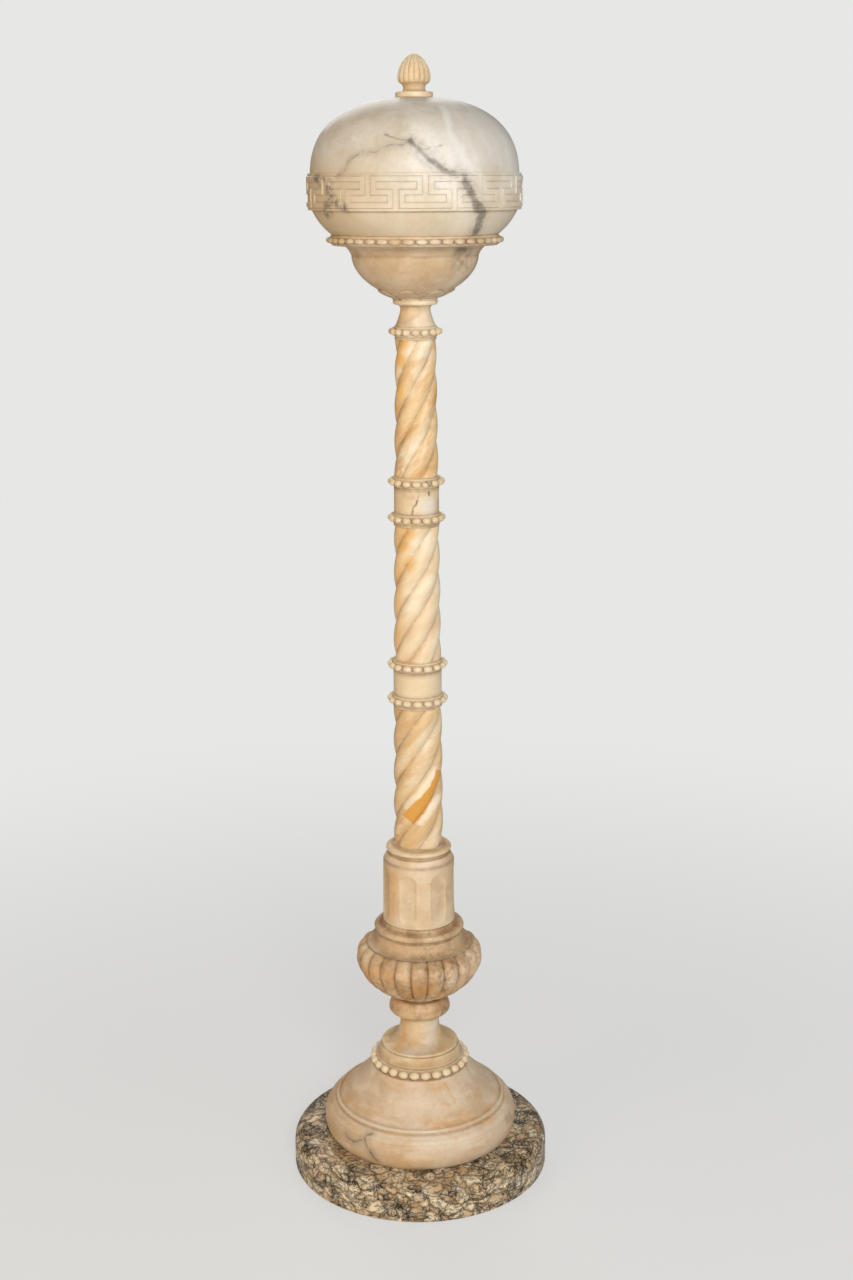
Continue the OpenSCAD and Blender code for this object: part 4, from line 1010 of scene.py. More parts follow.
def scored(points, places, deep, wide):
    """An outline with soft grooves at some distances from its end."""
    run = distances(points)
    ahead = np.gradient(points, axis=0)
    outward = np.stack([ahead[:, 1], -ahead[:, 0]], 1) / np.linalg.norm(ahead, axis=1)[:, None]
    cut = sum(np.exp(-((run[-1] - place - run) / wide) ** 2) for place in places)
    return points - outward * (deep * cut)[:, None]


high, wide = size("foot")
ridge_r = wide - FOOT_SWELL
dome_r = ridge_r - FOOT_RIDGE_OUT
dome_low = FOOT_RIM_H + FOOT_RIDGE_H
rim = arc((ridge_r, FOOT_RIM_MID), FOOT_SWELL, FOOT_RIM_H - FOOT_RIM_MID, 0, 90, power=1.8, steps=48)
outline = soften([(BORE, 0), arc((wide - FOOT_UNDER, FOOT_RIM_MID), FOOT_UNDER, FOOT_RIM_MID, -90, 0),
                  scored(rim, FOOT_SCORES, SCORE_DEEP, SCORE_WIDE), (ridge_r - 0.6, FOOT_RIM_H + 0.6),
                  arc((dome_r - 1, FOOT_RIM_H + FOOT_RIDGE_H / 2), FOOT_RIDGE_OUT + 0.8, FOOT_RIDGE_H / 2,
                      -40, 90), (dome_r - 2, dome_low - 1.6),
                  bend((dome_r - 3.6, dome_low), (FOOT_TOP_R + 9, high - 14), (FOOT_TOP_R, high), 28),
                  (BORE, high)], 0.8)
keep("foot", turned("turned_foot", "foot", outline, sides=WIDE_SIDES), foot_stone)

# %% [markdown]
# ## Bead rings
# Rings of olive-shaped beads mark every change of the column. The ring itself is turned: a fillet, a
# slope out to the beads and a slope back. One bead is spun from an arc about its long axis, and the
# repeating tree sets it round the ring. The bead carries the hollow mark too, at its ends and towards
# the ring, where dirt stays and shade falls; both are painted darker there, and so is the channel that
# the beads sit in.

# %% Beads and their rings
BEAD_FILL = 0.92
BEAD_STEPS = 12
BEAD_SIDES = 16
BEAD_FULLNESS = 0.6
BEAD_PROUD = 0.78
BEAD_UNEVEN = 0.035
RING_STEP = 1.2
CHANNEL_DIRT_AND_SHADE = 0.75


def olive(name, half_len, half_h):
    """One bead about the Y axis, at the origin; +X faces outwards."""
    along = np.sin(np.linspace(-math.pi / 2, math.pi / 2, BEAD_STEPS + 1)) * half_len
    radius = half_h * np.clip(1 - (along / half_len) ** 2, 0, None) ** BEAD_FULLNESS
    spin = np.linspace(0, 2 * math.pi, BEAD_SIDES, endpoint=False)
    verts = np.stack(np.broadcast_arrays(radius[:, None] * np.cos(spin), along[:, None],
                                         -radius[:, None] * np.sin(spin)), -1)
    faces = grid_faces(wrapped(np.arange(verts.size // 3).reshape(verts.shape[:2])))
    x, y = verts[..., 0] / half_h, verts[..., 1] / half_len
    # Dirt and painted shade at the ends of the bead and on its back, towards the ring.
    ends = np.abs(y) ** 12 * 0.8
    behind = np.clip(-0.3 - x, 0, 1)
    front = np.clip(x - 0.4, 0, 1)
    return built(name, verts * MM, faces[:, ::-1], {"hollow": np.maximum(ends, behind), "edge": front})


def beaded(node, outline, tip_r, bead_h, count, mid, stone, seed, sides=SIDES):
    """A turned ring with its beads."""
    middle_r = tip_r - bead_h / 2
    bead = olive(node + "_bead", BEAD_FILL * math.pi * middle_r / count, bead_h / 2)
    outline = dense(outline, RING_STEP)
    # The channel that the beads sit in is marked hollow: dirt and painted shade.
    channel = (np.abs(outline[:, 1] - mid) < bead_h / 2 + 0.3) & (outline[:, 0] > tip_r - bead_h)
    hollow = np.maximum(wear(outline, (1, 1))[0], channel * CHANNEL_DIRT_AND_SHADE)
    ring = turned("carved_" + node, node, outline, sides=sides, extra={"hollow": hollow})
    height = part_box(node)[0].z + mid * MM
    carved(ring, stone, (repeat_round, {"Piece": bead, "Count": count, "Radius": middle_r * MM,
                                        "Height": height, "Uneven": BEAD_UNEVEN, "Seed": seed}))
    bpy.data.objects.remove(bead)
    keep(node, ring, stone)


FOOT_BEADS = 26
FOOT_BEAD_H = 12.4
high, tip = size("foot_bead_ring")
groove = tip - BEAD_PROUD * FOOT_BEAD_H
outline = soften([(BORE, 0), (groove - 2.5, 0), (groove + 0.5, 1), (groove, 2.5), (groove, high - 2.5),
                  (groove + 0.5, high - 1), (groove - 2.5, high), (BORE, high)], 0.6)
beaded("foot_bead_ring", outline, tip, FOOT_BEAD_H, FOOT_BEADS, high / 2, collar_stone, seed=3)

# %% Rings of the column
COLUMN_FOOT_R = 38.0
COLUMN_TOP_R = 29.5
COLUMN_SWELL = 1.4
COLUMN_BEADS = 16
COLUMN_BEAD_H = 9.8
COLUMN_BEAD_OUT = 9.5
COLUMN_BEAD_MID = 0.6
COLUMN_RINGS = ("lower_collar_bottom_ring", "lower_collar_top_ring", "upper_collar_bottom_ring",
                "upper_collar_top_ring", "capital_bead_ring")
column_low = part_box("lower_shaft")[0].z
column_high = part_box("capital_bead_ring")[1].z


def column_r(z):
    """Radius of the column in millimetres at a height in metres."""
    share = np.clip((z - column_low) / (column_high - column_low), 0, 1) ** COLUMN_SWELL
    return COLUMN_FOOT_R + (COLUMN_TOP_R - COLUMN_FOOT_R) * share


for seed, node in enumerate(COLUMN_RINGS):
    high = size(node)[0]
    low_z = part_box(node)[0].z
    foot_r = column_r(low_z)
    tip = foot_r + COLUMN_BEAD_OUT
    groove = tip - BEAD_PROUD * COLUMN_BEAD_H
    mid = high * COLUMN_BEAD_MID
    bead_low, bead_top = mid - COLUMN_BEAD_H / 2, mid + COLUMN_BEAD_H / 2
    top_r = column_r(low_z + high * MM) + 1
    outline = soften([(BORE, 0), (foot_r + 0.6, 0), (foot_r + 0.6, 2.2), (foot_r - 0.2, 2.7),
                      (groove + 0.4, bead_low - 0.6), (groove, bead_low + 0.6), (groove, bead_top - 0.6),
                      (groove + 0.4, bead_top + 0.4), (top_r + 0.6, high - 1.0), (top_r, high),
                      (BORE, high)], 0.5)
    stone = collar_stone if "collar" in node else cream
    beaded(node, outline, tip, COLUMN_BEAD_H, COLUMN_BEADS, mid, stone, seed=11 + seed)

# %% [markdown]
# ## Socle, neck, plain rings and collars
# These are pure lathe work. Their charm is in the change from crisp fillets to full rounds, so each
# outline keeps its steps and gets only a small softening.

# %% Turn the plain stones
high, wide = size("foot_socle")
outline = soften([(BORE, 0), (wide, 0), (wide, 3), (wide - 1, 4), (wide - 4.5, high - 1), (wide - 5.5, high),
                  (BORE, high)], 0.9)
keep("foot_socle", turned("turned_socle", "foot_socle", outline), neck_stone)

NECK_WAIST_R = 30.5
high, wide = size("pedestal_neck")
outline = soften([(BORE, 0), (wide, 0), (wide, 3),
                  bend((wide - 1, 4), (NECK_WAIST_R, 4), (NECK_WAIST_R, high * 0.8), 24),
                  bend((NECK_WAIST_R, high * 0.9), (NECK_WAIST_R, high), (NECK_WAIST_R + 4, high)),
                  (BORE, high)], 0.8)
keep("pedestal_neck", turned("turned_neck", "pedestal_neck", outline), neck_stone)


def rounded_ring(node, mid, low_in, high_in, stone):
    """A full round moulding, widest at mid height, that draws in below and above."""
    high, wide = size(node)
    outline = soften([(BORE, 0), arc((wide - low_in, mid), low_in, mid, -90, 0),
                      arc((wide - high_in, mid), high_in, high - mid, 0, 90), (BORE, high)], 0.6)
    keep(node, turned("turned_" + node, node, outline), stone)


rounded_ring("cushion_ring", 8.5, 13, 15, urn_stone)
RING_SEAT_H = 4
DRUM_R = size("fluted_drum")[1]
COLUMN_R = column_r(column_low)


def edged_ring(node, edge_h, edge_out, top_r, stone):
    """A ring on a plain seat, with a round edge and a hollow slope from it to the stone above."""
    high, wide = size(node)
    seat_r = wide - edge_out
    edge_top = RING_SEAT_H + edge_h
    outline = soften([(BORE, 0), (seat_r, 0),
                      arc((seat_r, RING_SEAT_H + edge_h / 2), edge_out, edge_h / 2, -90, 90),
                      bend((seat_r, edge_top), (top_r, edge_top), (top_r, high)), (BORE, high)], 0.5)
    keep(node, turned("turned_" + node, node, outline), stone)


edged_ring("urn_ring", 9.5, 4, DRUM_R + 1, urn_stone)
edged_ring("drum_ring", 8.5, 6, COLUMN_R + 1, cream)
for node in ("lower_collar", "upper_collar"):
    high, wide = size(node)
    outline = soften([(BORE, 0), (wide, 0), (wide, high), (BORE, high)], 0.7)
    keep(node, turned("turned_" + node, node, dense(outline, 6)), collar_stone)

# %% [markdown]
# ## The gadrooned urn
# Gadroons are plump lobes, side by side. Each one swells from the stem, is fullest at the belly and ends
# in a round top under the sharp edge of the shoulder. The outline is turned with many columns, a whole
# number for each lobe, so that the valleys run along edges of the mesh. The mark cap grows from 0 to 1
# over the last part of a lobe, which makes its top round.

# %% Turn and carve the urn
GADROONS = 22
GADROON_DEPTH = 7.5
URN_STEM_R = 32
URN_STEM_H = 7
URN_MID = 69
URN_EDGE_R = 81
URN_EDGE_H = 93
URN_TOP_R = 66
URN_LEAN = 1.71
URN_STEP = 2.5
LOBE_COLUMNS = 20
LOBE_FULLNESS = 0.8

high, wide = size("urn")
belly = arc((URN_STEM_R, URN_MID), wide - URN_STEM_R, URN_STEM_H - URN_MID, 90, 0, power=URN_LEAN, steps=40)
shoulder = arc((URN_EDGE_R, URN_MID), wide - URN_EDGE_R, URN_EDGE_H - URN_MID, 0, 84, steps=26)
fillet = [(URN_EDGE_R + 1.2, URN_EDGE_H - 0.6), (URN_EDGE_R + 1.4, URN_EDGE_H + 1.0),
          (URN_EDGE_R - 1.2, URN_EDGE_H + 1.4)]
cove = bend((URN_EDGE_R - 1.2, URN_EDGE_H + 1.4), (URN_TOP_R, URN_EDGE_H + 1.4), (URN_TOP_R, high), 20)
outline = soften([(BORE, 0), (URN_STEM_R, 0), belly, shoulder, fillet, cove, (BORE, high)], 0.6)
outline = dense(outline, URN_STEP)
r, z = outline.T
on_lobe = (r > URN_STEM_R + 0.2) & (z > URN_STEM_H) & (z < URN_EDGE_H - 0.2)
run = distances(outline)
lobe_end = run[on_lobe].max()
half_lobe = math.pi * URN_EDGE_R / GADROONS
cap = np.clip((run - (lobe_end - half_lobe)) / half_lobe, 0, 1) * on_lobe
fade = np.clip((r - URN_STEM_R) / (0.5 * (wide - URN_STEM_R)), 0, 1) * on_lobe
urn = turned("carved_urn", "urn", outline, sides=GADROONS * LOBE_COLUMNS, extra={"carve": fade, "cap": cap})
carved(urn, urn_stone, (carve_round, {"Lobes": GADROONS, "Depth": GADROON_DEPTH * MM, "Start": math.pi / 2,
                                      "Fullness": LOBE_FULLNESS}))
keep("urn", urn, urn_stone)

# %% [markdown]
# ## The fluted drum
# The drum has seven broad, shallow flutes with round ends. They are the opposite of lobes: the same tree
# sinks the bulge in instead of leaving it standing, and a width below one leaves flat lands between.

# %% Turn and flute the drum
FLUTES = 7
FLUTE_DEPTH = 3.0
FLUTE_W = 27
FLUTE_LOW = 9
FLUTE_LEN = 78
FLUTE_TURN = 18
DRUM_TAPER = 1.0
DRUM_BEVEL = (6, 10)
DRUM_STEP = 1.5
FLUTE_COLUMNS = 40
FLUTE_FULLNESS = 0.5

high, wide = size("fluted_drum")
bevel_in, bevel_h = DRUM_BEVEL
top_r = wide - DRUM_TAPER
outline = soften([(BORE, 0), (wide, 0), (top_r, high - bevel_h - 1), (top_r - 0.9, high - bevel_h - 0.4),
                  (top_r - 0.6, high - bevel_h), (top_r - bevel_in, high), (BORE, high)], 0.7)
outline = dense(outline, DRUM_STEP)
flute_high = FLUTE_LOW + FLUTE_LEN
half_flute = FLUTE_W / 2
r, z = outline.T
cap = np.maximum(FLUTE_LOW + half_flute - z, z - (flute_high - half_flute)) / half_flute
sink = ((z > FLUTE_LOW) & (z < flute_high) & (r > top_r - 1.5)).astype(float)
drum = turned("carved_drum", "fluted_drum", outline, sides=FLUTES * FLUTE_COLUMNS,
              extra={"carve": sink, "cap": np.clip(cap, 0, 1)})
share = FLUTE_W * FLUTES / (2 * math.pi * wide)
carved(drum, drum_stone, (carve_round, {"Lobes": FLUTES, "Depth": FLUTE_DEPTH * MM, "Width": share,
                                        "Start": math.radians(-90 - FLUTE_TURN),
                                        "Fullness": FLUTE_FULLNESS, "Sunk": 1.0}))
keep("fluted_drum", drum, drum_stone)

# %% [markdown]
# ## The rope-twist shafts
# Three shafts carry on one twist from drum to capital. Each is turned with a twist, so that the columns
# of its mesh climb with the strands, and the carving tree, told the same twist, cuts the valleys along
# them. The radius follows the slight swell of the whole column.

# %% Turn, twist and carve the shafts
STRANDS = 5
STRAND_DEPTH = 5.6
STRAND_TURNS = {"lower_shaft": 17, "middle_shaft": 8, "upper_shaft": 19}
STRAND_COLUMNS = 28
STRAND_FULLNESS = 0.95
ROW_STEP = 3.0

for node, strand_turn in STRAND_TURNS.items():
    high = size(node)[0]
    low_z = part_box(node)[0].z
    rows = np.linspace(0, high, math.ceil(high / ROW_STEP))
    side = np.stack([column_r(low_z + rows * MM), rows], axis=1)
    outline = np.vstack([[(BORE, 0)], side, [(BORE, high)]])
    cut = np.array([0.0, *np.ones(len(rows)), 0.0])
    shaft = turned("carved_" + node, node, outline, sides=STRANDS * STRAND_COLUMNS, twist=TWIST,
                   extra={"carve": cut, "cap": cut * 0})
    start = math.radians(strand_turn) - TWIST * column_low
    carved(shaft, honey, (carve_round, {"Lobes": STRANDS, "Depth": STRAND_DEPTH * MM, "Twist": TWIST,
                                        "Start": start, "Fullness": STRAND_FULLNESS}))
    keep(node, shaft, honey)

# %% [markdown]
# ## Capital and bowl
# The capital is a small waisted stone with a round flange. The bowl above it is a thin shell: its outline
# runs up the outside, over the lip and down the inside. A cup of broad leaves is carved round its foot.
# One leaf is a small closed shell that follows the bowl, and the repeating tree sets two rows of seven.
# The back row is smaller and flatter and stands half a step round, so that it shows in the gaps.

# %% Turn the capital
CAPITAL_WAIST_R = 21.5
CAPITAL_FLANGE_H = 7.5
high, wide = size("capital")
flange_z = high - CAPITAL_FLANGE_H
edge_r = wide - 3
flare = (CAPITAL_WAIST_R + 3, 10)
outline = soften([(BORE, 0), bend((COLUMN_TOP_R, 0), flare, (CAPITAL_WAIST_R, flange_z * 0.75)),
                  bend((CAPITAL_WAIST_R, flange_z * 0.75), (CAPITAL_WAIST_R, flange_z), (edge_r, flange_z)),
                  arc((edge_r, high - CAPITAL_FLANGE_H / 2), 3, CAPITAL_FLANGE_H / 2, -90, 90),
                  (BORE, high)], 0.6)
keep("capital", turned("turned_capital", "capital", outline), cream)

# %% Turn the bowl and set its leaves
BOWL_R = 91
BOWL_BODY_H = 62
BOWL_CUP_H = 15
BOWL_LEAN = 1.86
BOWL_FOOT_R = 30.5
BOWL_WALL = 9
BOWL_FLOOR = 12
BOWL_FLAT_R = 24
LEAVES = 7
LEAF_RELIEF = 2.6
LEAF_ROOT = 1.2
LEAF_SHARE = 0.995
BACK_SHARE = 0.7
BACK_TOP = 0.72
BACK_RELIEF = 0.55
LEAF_TURN = math.radians(-90 + 12)

high, wide = size("bowl")
inner_r = BOWL_R - BOWL_WALL
floor_angle = -math.degrees(math.acos(BOWL_FLAT_R / inner_r))
inner_h = (BOWL_BODY_H - BOWL_FLOOR) / math.sin(math.radians(-floor_angle))
cup_angle = -math.degrees(math.asin((BOWL_BODY_H - BOWL_CUP_H) / BOWL_BODY_H))
side = arc((0, BOWL_BODY_H), BOWL_R, BOWL_BODY_H, cup_angle, 0, power=BOWL_LEAN, steps=28)
cup_r, cup_h = side[0]
cup = bend((BOWL_FOOT_R, 2.4), ((BOWL_FOOT_R + cup_r) / 2, cup_h / 2.6), (cup_r - 0.5, cup_h - 0.4))
body = np.vstack([cup, side])
lip = bend((BOWL_R, BOWL_BODY_H), (BOWL_R + 4, high - 5), (wide, high))
outline = soften([(BORE, 0), (BOWL_FOOT_R - 3, 0), (BOWL_FOOT_R - 3, 2), body, lip,
                  bend((wide - BOWL_WALL, high), (inner_r + 3, high - 3), (inner_r, BOWL_BODY_H)),
                  arc((0, BOWL_BODY_H), inner_r, inner_h, 0, floor_angle, steps=24), (BORE, BOWL_FLOOR)], 0.8)
bowl = turned("carved_bowl", "bowl", outline, sides=WIDE_SIDES)


def leaf(name, half_angle, top, relief, across=24, up=14):
    """A thin leaf on the bowl's foot, about the X axis: a round top, a raised edge and a dished middle."""
    s = np.linspace(-1, 1, across + 1)
    t = np.linspace(0, 1, up + 1)
    heights = np.outer(t, (1 - np.abs(s) ** 2.2) * top + 0.4)
    radii = np.interp(heights, body[:, 1], body[:, 0])
    inward = np.minimum((1 - np.abs(s))[None, :] * 1.2, (1 - t)[:, None])
    edge = np.clip(inward * 9, 0, 1)
    dished = np.clip((inward - 0.12) / 0.2, 0, 1)
    lift = relief * np.sqrt(edge) * (1 - 0.5 * dished)
    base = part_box("bowl")[0].z / MM
    theta = s[None, :] * half_angle

    def skin(out):
        return polar(radii + out, theta, base + heights - out * 0.5)

    verts = np.stack([skin(lift), skin(np.full_like(lift, -LEAF_ROOT))]) * MM
    index = np.arange(lift.size).reshape(lift.shape)
    front = grid_faces(index)
    rim = np.concatenate([index[0, :], index[1:, -1], index[-1, -2::-1], index[-2:0:-1, 0]])
    far = index.size
    sides = np.stack([rim, rim + far, np.roll(rim, -1) + far, np.roll(rim, -1)], -1)
    faces = np.concatenate([front, front[:, ::-1] + far, sides])
    # Dirt and painted shade where the leaf meets the bowl, and all over its back.
    hollow_dirt_and_shade = np.concatenate([(1 - edge).ravel() * 0.9, np.ones(far)])
    return built(name, verts, faces, {"hollow": hollow_dirt_and_shade, "edge": np.zeros(2 * far)})


half = math.pi / LEAVES
leaf_rows = (leaf("back_leaf", half * BACK_SHARE, BOWL_CUP_H * BACK_TOP, LEAF_RELIEF * BACK_RELIEF),
             leaf("front_leaf", half * LEAF_SHARE, BOWL_CUP_H, LEAF_RELIEF))
carved(bowl, bowl_stone, *((repeat_round, {"Piece": shape, "Count": LEAVES, "Start": LEAF_TURN + row * half})
                           for row, shape in enumerate(leaf_rows)))
for shape in leaf_rows:
    bpy.data.objects.remove(shape)
keep("bowl", bowl, bowl_stone)

# %% Turn and bead the rim
RIM_BEADS = 42
RIM_BEAD_H = 8
RIM_MOUTH_R = 108
RIM_LEDGE_H = 6
RIM_SEAT_R = 93
high, tip = size("bowl_bead_rim")
groove = tip - BEAD_PROUD * RIM_BEAD_H
outline = soften([(RIM_SEAT_R, 0), (groove - 3.5, 0), (groove - 1.5, 1.5), (groove + 0.4, 2.8), (groove, 4.2),
                  (groove, high - 4.2), (groove + 0.4, high - 2.8), (groove - 2, high), (RIM_MOUTH_R, high),
                  (RIM_MOUTH_R, RIM_LEDGE_H), (RIM_SEAT_R, RIM_LEDGE_H)], 0.5)
beaded("bowl_bead_rim", outline, tip, RIM_BEAD_H, RIM_BEADS, high / 2, bowl_stone, seed=29,
       sides=WIDEST_SIDES)

# %% [markdown]
# ## The globe and its key band
# The lower half of the shade carries a Greek key band in low relief. One length of the key is a patch of
# mesh: a grid that is raised wherever it lies within half a fillet of the key's path. Its grid lines stand
# exactly on both sides of every fillet, which keeps the carving crisp with few faces. The repeating tree
# sets the patch twelve times round and welds it to the turned part, whose columns follow the same grid.

# %% Set out the key
KEY_REPEATS = 12
KEY_RELIEF = 1.8
KEY_FILLET = 7.2
KEY_MARGIN = 4.0
KEY_SLOPE = 0.9
KEY_NEAR = 0.5
KEY_FAR = 0.8
GLOBE_R = 148
GLOBE_LOW_H = 34
BAND_H = 50
GLOBE_LIP_H = 7
GLOBE_FOOT_R = 119
GLOBE_WALL = 7
LIP_T = 6
LIP_GAP = 0.6

high, tip = size("globe")
band_r = tip - KEY_RELIEF
turn = 2 * math.pi / KEY_REPEATS
pitch = turn * band_r
low = KEY_MARGIN + KEY_FILLET / 2
top = BAND_H - low
mid = BAND_H / 2
path = [(0, low), (KEY_FAR, low), (KEY_FAR, mid), (KEY_NEAR, mid), (KEY_NEAR, top),
        (KEY_NEAR + KEY_FAR, top), (KEY_NEAR + KEY_FAR, mid), (1, mid), (1, low)]
key_path = [(u * pitch, v) for u, v in path]


def key_height(u, v):
    """Relief of the key at places along and up the band, repeated from length to length."""
    nearest = np.full(np.broadcast(u, v).shape, 99.0)
    for shift in (-2, -1, 0, 1):
        for (u0, v0), (u1, v1) in zip(key_path, key_path[1:]):
            du = np.maximum(min(u0, u1) + shift * pitch - u, u - max(u0, u1) - shift * pitch)
            dv = np.maximum(min(v0, v1) - v, v - max(v0, v1))
            nearest = np.minimum(nearest, np.maximum(du, dv))
    return np.clip((KEY_FILLET / 2 - nearest) / KEY_SLOPE + 0.5, 0, 1), nearest


def grid_lines(middles, length, step):
    """Lines on both sides of each fillet's edges, and between them no further apart than the step."""
    edges = [m + side * KEY_FILLET / 2 + slope * KEY_SLOPE / 2
             for m in middles for side in (-1, 1) for slope in (-1, 1)]
    marks = np.unique(np.round([e for e in (*edges, 0, length) if 0 <= e <= length], 4))
    return dense(np.stack([marks, marks * 0], 1), step)[:, 0]


posts = [u * pitch + k * pitch for u, _ in path for k in (-1, 0, 1)]
along = grid_lines(posts, pitch, 2.0)
upward = grid_lines([low, mid, top], BAND_H, 2.5)
print("key patch", len(along), "by", len(upward), "lines")

# %% Make the key patch and the globe
BAND_EDGE = 0.6
KEY_START = math.radians(-96.5)
KEY_WELD = 0.02
relief, nearest = key_height(along[None, :], upward[:, None])
inset = BAND_EDGE * ((upward < 0.01) | (upward > BAND_H - 0.01))
radius = (band_r - inset[:, None] + KEY_RELIEF * relief) * MM
theta = np.broadcast_to(along / pitch * turn, radius.shape)
band_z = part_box("globe")[0].z + (GLOBE_LIP_H + GLOBE_LOW_H + upward[:, None]) * MM
index = np.arange(radius.size).reshape(radius.shape)


def beside_fillet(offset, reach, strength):
    """A mark that is strongest at some distance outside the fillet's edge and fades away from there."""
    return np.clip(1 - np.abs(nearest - KEY_FILLET / 2 - offset) / reach, 0, 1) * strength


# Just outside each fillet the hollow mark paints dirt and shade; just inside its edge the edge mark paints
# wear.
key_patch = built("key_patch", polar(radius, theta, band_z), grid_faces(index),
                  {"hollow": beside_fillet(0.4, 1.6, 0.45), "edge": beside_fillet(-0.6, 0.9, 0.6)})

lip_r = RIM_MOUTH_R - LIP_GAP
lip_in = lip_r - LIP_T
mouth_r = GLOBE_R - GLOBE_WALL + 1
foot_z = GLOBE_LIP_H
band_foot = foot_z + GLOBE_LOW_H
globe_top = band_foot + BAND_H


def globe_side(foot_r, top_r):
    return bend((foot_r, foot_z), (top_r - 9, foot_z + GLOBE_LOW_H * 0.41), (top_r, band_foot), 24)


inside = globe_side(lip_in, GLOBE_R - GLOBE_WALL)[::-1]
lower = soften([(band_r - BAND_EDGE, globe_top), (mouth_r, globe_top), (mouth_r, globe_top - 9), inside,
                (lip_in, 0), (lip_r, 0), (lip_r, foot_z), globe_side(GLOBE_FOOT_R, GLOBE_R - 2),
                (band_r - BAND_EDGE, band_foot)], 0.5)
columns = np.concatenate([KEY_START + turn * k + along[:-1] / pitch * turn for k in range(KEY_REPEATS)])
globe = turned("carved_globe", "globe", lower, angles=columns, closed=False, seams=(0, 0))
carved(globe, shade_stone, (repeat_round, {"Piece": key_patch, "Count": KEY_REPEATS, "Start": KEY_START,
                                           "Weld": KEY_WELD * MM}))
bpy.data.objects.remove(key_patch)
keep("globe", globe, shade_stone)

# %% [markdown]
# ## The dome
# The upper half of the shade is the lid. It is fuller than a half ball, almost flat on top, so its
# outline is a fuller ellipse. Below its edge a lip drops into the mouth of the globe.

# %% Turn the dome
DOME_FULLNESS = 2.45
DOME_DROP = 9
DOME_CROWN_R = 29.5
DOME_HOLE_R = 3.3
DOME_FLAT_R = 14
LIP_SLOPE = 8

high, wide = size("dome")
dome_h = high - GLOBE_LIP_H


def dome_arc(wide, top, low, crown):
    """The fuller ellipse from a height above the dome's edge up to its flat crown."""
    power = DOME_FULLNESS
    tall = (top + DOME_DROP) / (1 - (crown / wide) ** power) ** (1 / power)
    start = math.degrees(math.asin(((DOME_DROP + low) / tall) ** (power / 2)))
    end = math.degrees(math.acos((crown / wide) ** (power / 2)))
    return arc((0, GLOBE_LIP_H - DOME_DROP), wide, tall, start, end, power=power, steps=48)


lip_r = mouth_r - LIP_GAP
lip_in = lip_r - LIP_T
ceiling = dome_h - GLOBE_WALL
inside = dome_arc(GLOBE_R - GLOBE_WALL, ceiling, LIP_SLOPE, DOME_FLAT_R)[::-1]
outline = soften([(lip_in, 0), (lip_r, 0), (lip_r, GLOBE_LIP_H), dome_arc(GLOBE_R, dome_h, 0, DOME_CROWN_R),
                  (DOME_HOLE_R, high), (DOME_HOLE_R, GLOBE_LIP_H + ceiling), inside,
                  (lip_in, GLOBE_LIP_H)], 0.6)
keep("dome", turned("turned_dome", "dome", outline, sides=WIDEST_SIDES, seams=(0, 0)), shade_stone)

# %% [markdown]
# ## The finial
# The finial is a closed bud on a waisted foot, reeded all round like folded leaves. The reeds come from
# the carving tree. At the very top the leaves part, and that cleft is a thin wedge, cut with a Boolean.

# %% Turn, reed and cleave the finial
REEDS = 16
REED_DEPTH = 1.8
REED_LOW = 16
REED_COLUMNS = 12
REED_FULLNESS = 0.6
FINIAL_FOOT_H = 8
FINIAL_EDGE = 3
BUD_R = 23.5
BUD_WAIST_R = 15.5
BUD_WAIST_TOP = 13
BUD_UNDER = (20, 19.6)
BUD_MID = 27
BUD_LEAN = 1.75
STUD_HOLE = (3.3, 27)
NOTCH_W = 5
NOTCH_DEEP = 4.5
SLIT_W = 1.6
SLIT_DEEP = 13
SLIT_END = -3
BUD_CLEAR = 50
TIP_ASIDE = 0.07

high, wide = size("finial")
hole_r, hole_h = STUD_HOLE
foot_edge = wide - FINIAL_EDGE
outline = soften([(hole_r, 0), (foot_edge, 0),
                  arc((foot_edge, FINIAL_FOOT_H / 2), FINIAL_EDGE, FINIAL_FOOT_H / 2, -90, 90, power=3.5),
                  bend((foot_edge - FINIAL_EDGE, FINIAL_FOOT_H), (BUD_WAIST_R, FINIAL_FOOT_H),
                       (BUD_WAIST_R, BUD_WAIST_TOP)),
                  bend((BUD_WAIST_R, BUD_WAIST_TOP), (BUD_WAIST_R, 17.5), BUD_UNDER),
                  bend(BUD_UNDER, (BUD_R - 0.1, 21.5), (BUD_R, BUD_MID)),
                  arc((0, BUD_MID), BUD_R, high - BUD_MID, 0, 88, power=BUD_LEAN, steps=30),
                  (0, high), (0, hole_h), (hole_r, hole_h)], 0.5)
r, z = outline.T
on_bud = (z > REED_LOW) & (np.arange(len(z)) <= np.argmax(z))
ramp = np.clip((z - REED_LOW) / 8, 0, 1) * np.clip(r / 10, 0, 1)
finial = turned("carved_finial", "finial", outline, sides=REEDS * REED_COLUMNS, seams=(1, 0),
                extra={"carve": ramp * on_bud, "cap": z * 0})
carved(finial, finial_stone, (carve_round, {"Lobes": REEDS, "Depth": REED_DEPTH * MM,
                                            "Start": math.pi / REEDS, "Fullness": REED_FULLNESS}))


def wedge(name, width, deep, near, far):
    """A wedge that points down into the finial's tip, a hair beside the columns of its mesh."""
    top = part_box("finial")[1].z
    half_w = width / 2 * MM
    shoulder, above = top - 0.4 * MM, top + 10 * MM
    outline = ((TIP_ASIDE * MM, top - deep * MM), (half_w, shoulder), (half_w, above), (-half_w, above),
               (-half_w, shoulder))
    corners = [(x, y * MM, z) for y in (near, far) for x, z in outline]
    around = [(k, (k + 1) % 5, (k + 1) % 5 + 5, k + 5) for k in range(5)]
    mesh = new_mesh(name, corners, [(4, 3, 2, 1, 0), (5, 6, 7, 8, 9), *around])
    return link(bpy.data.objects.new(name, mesh))


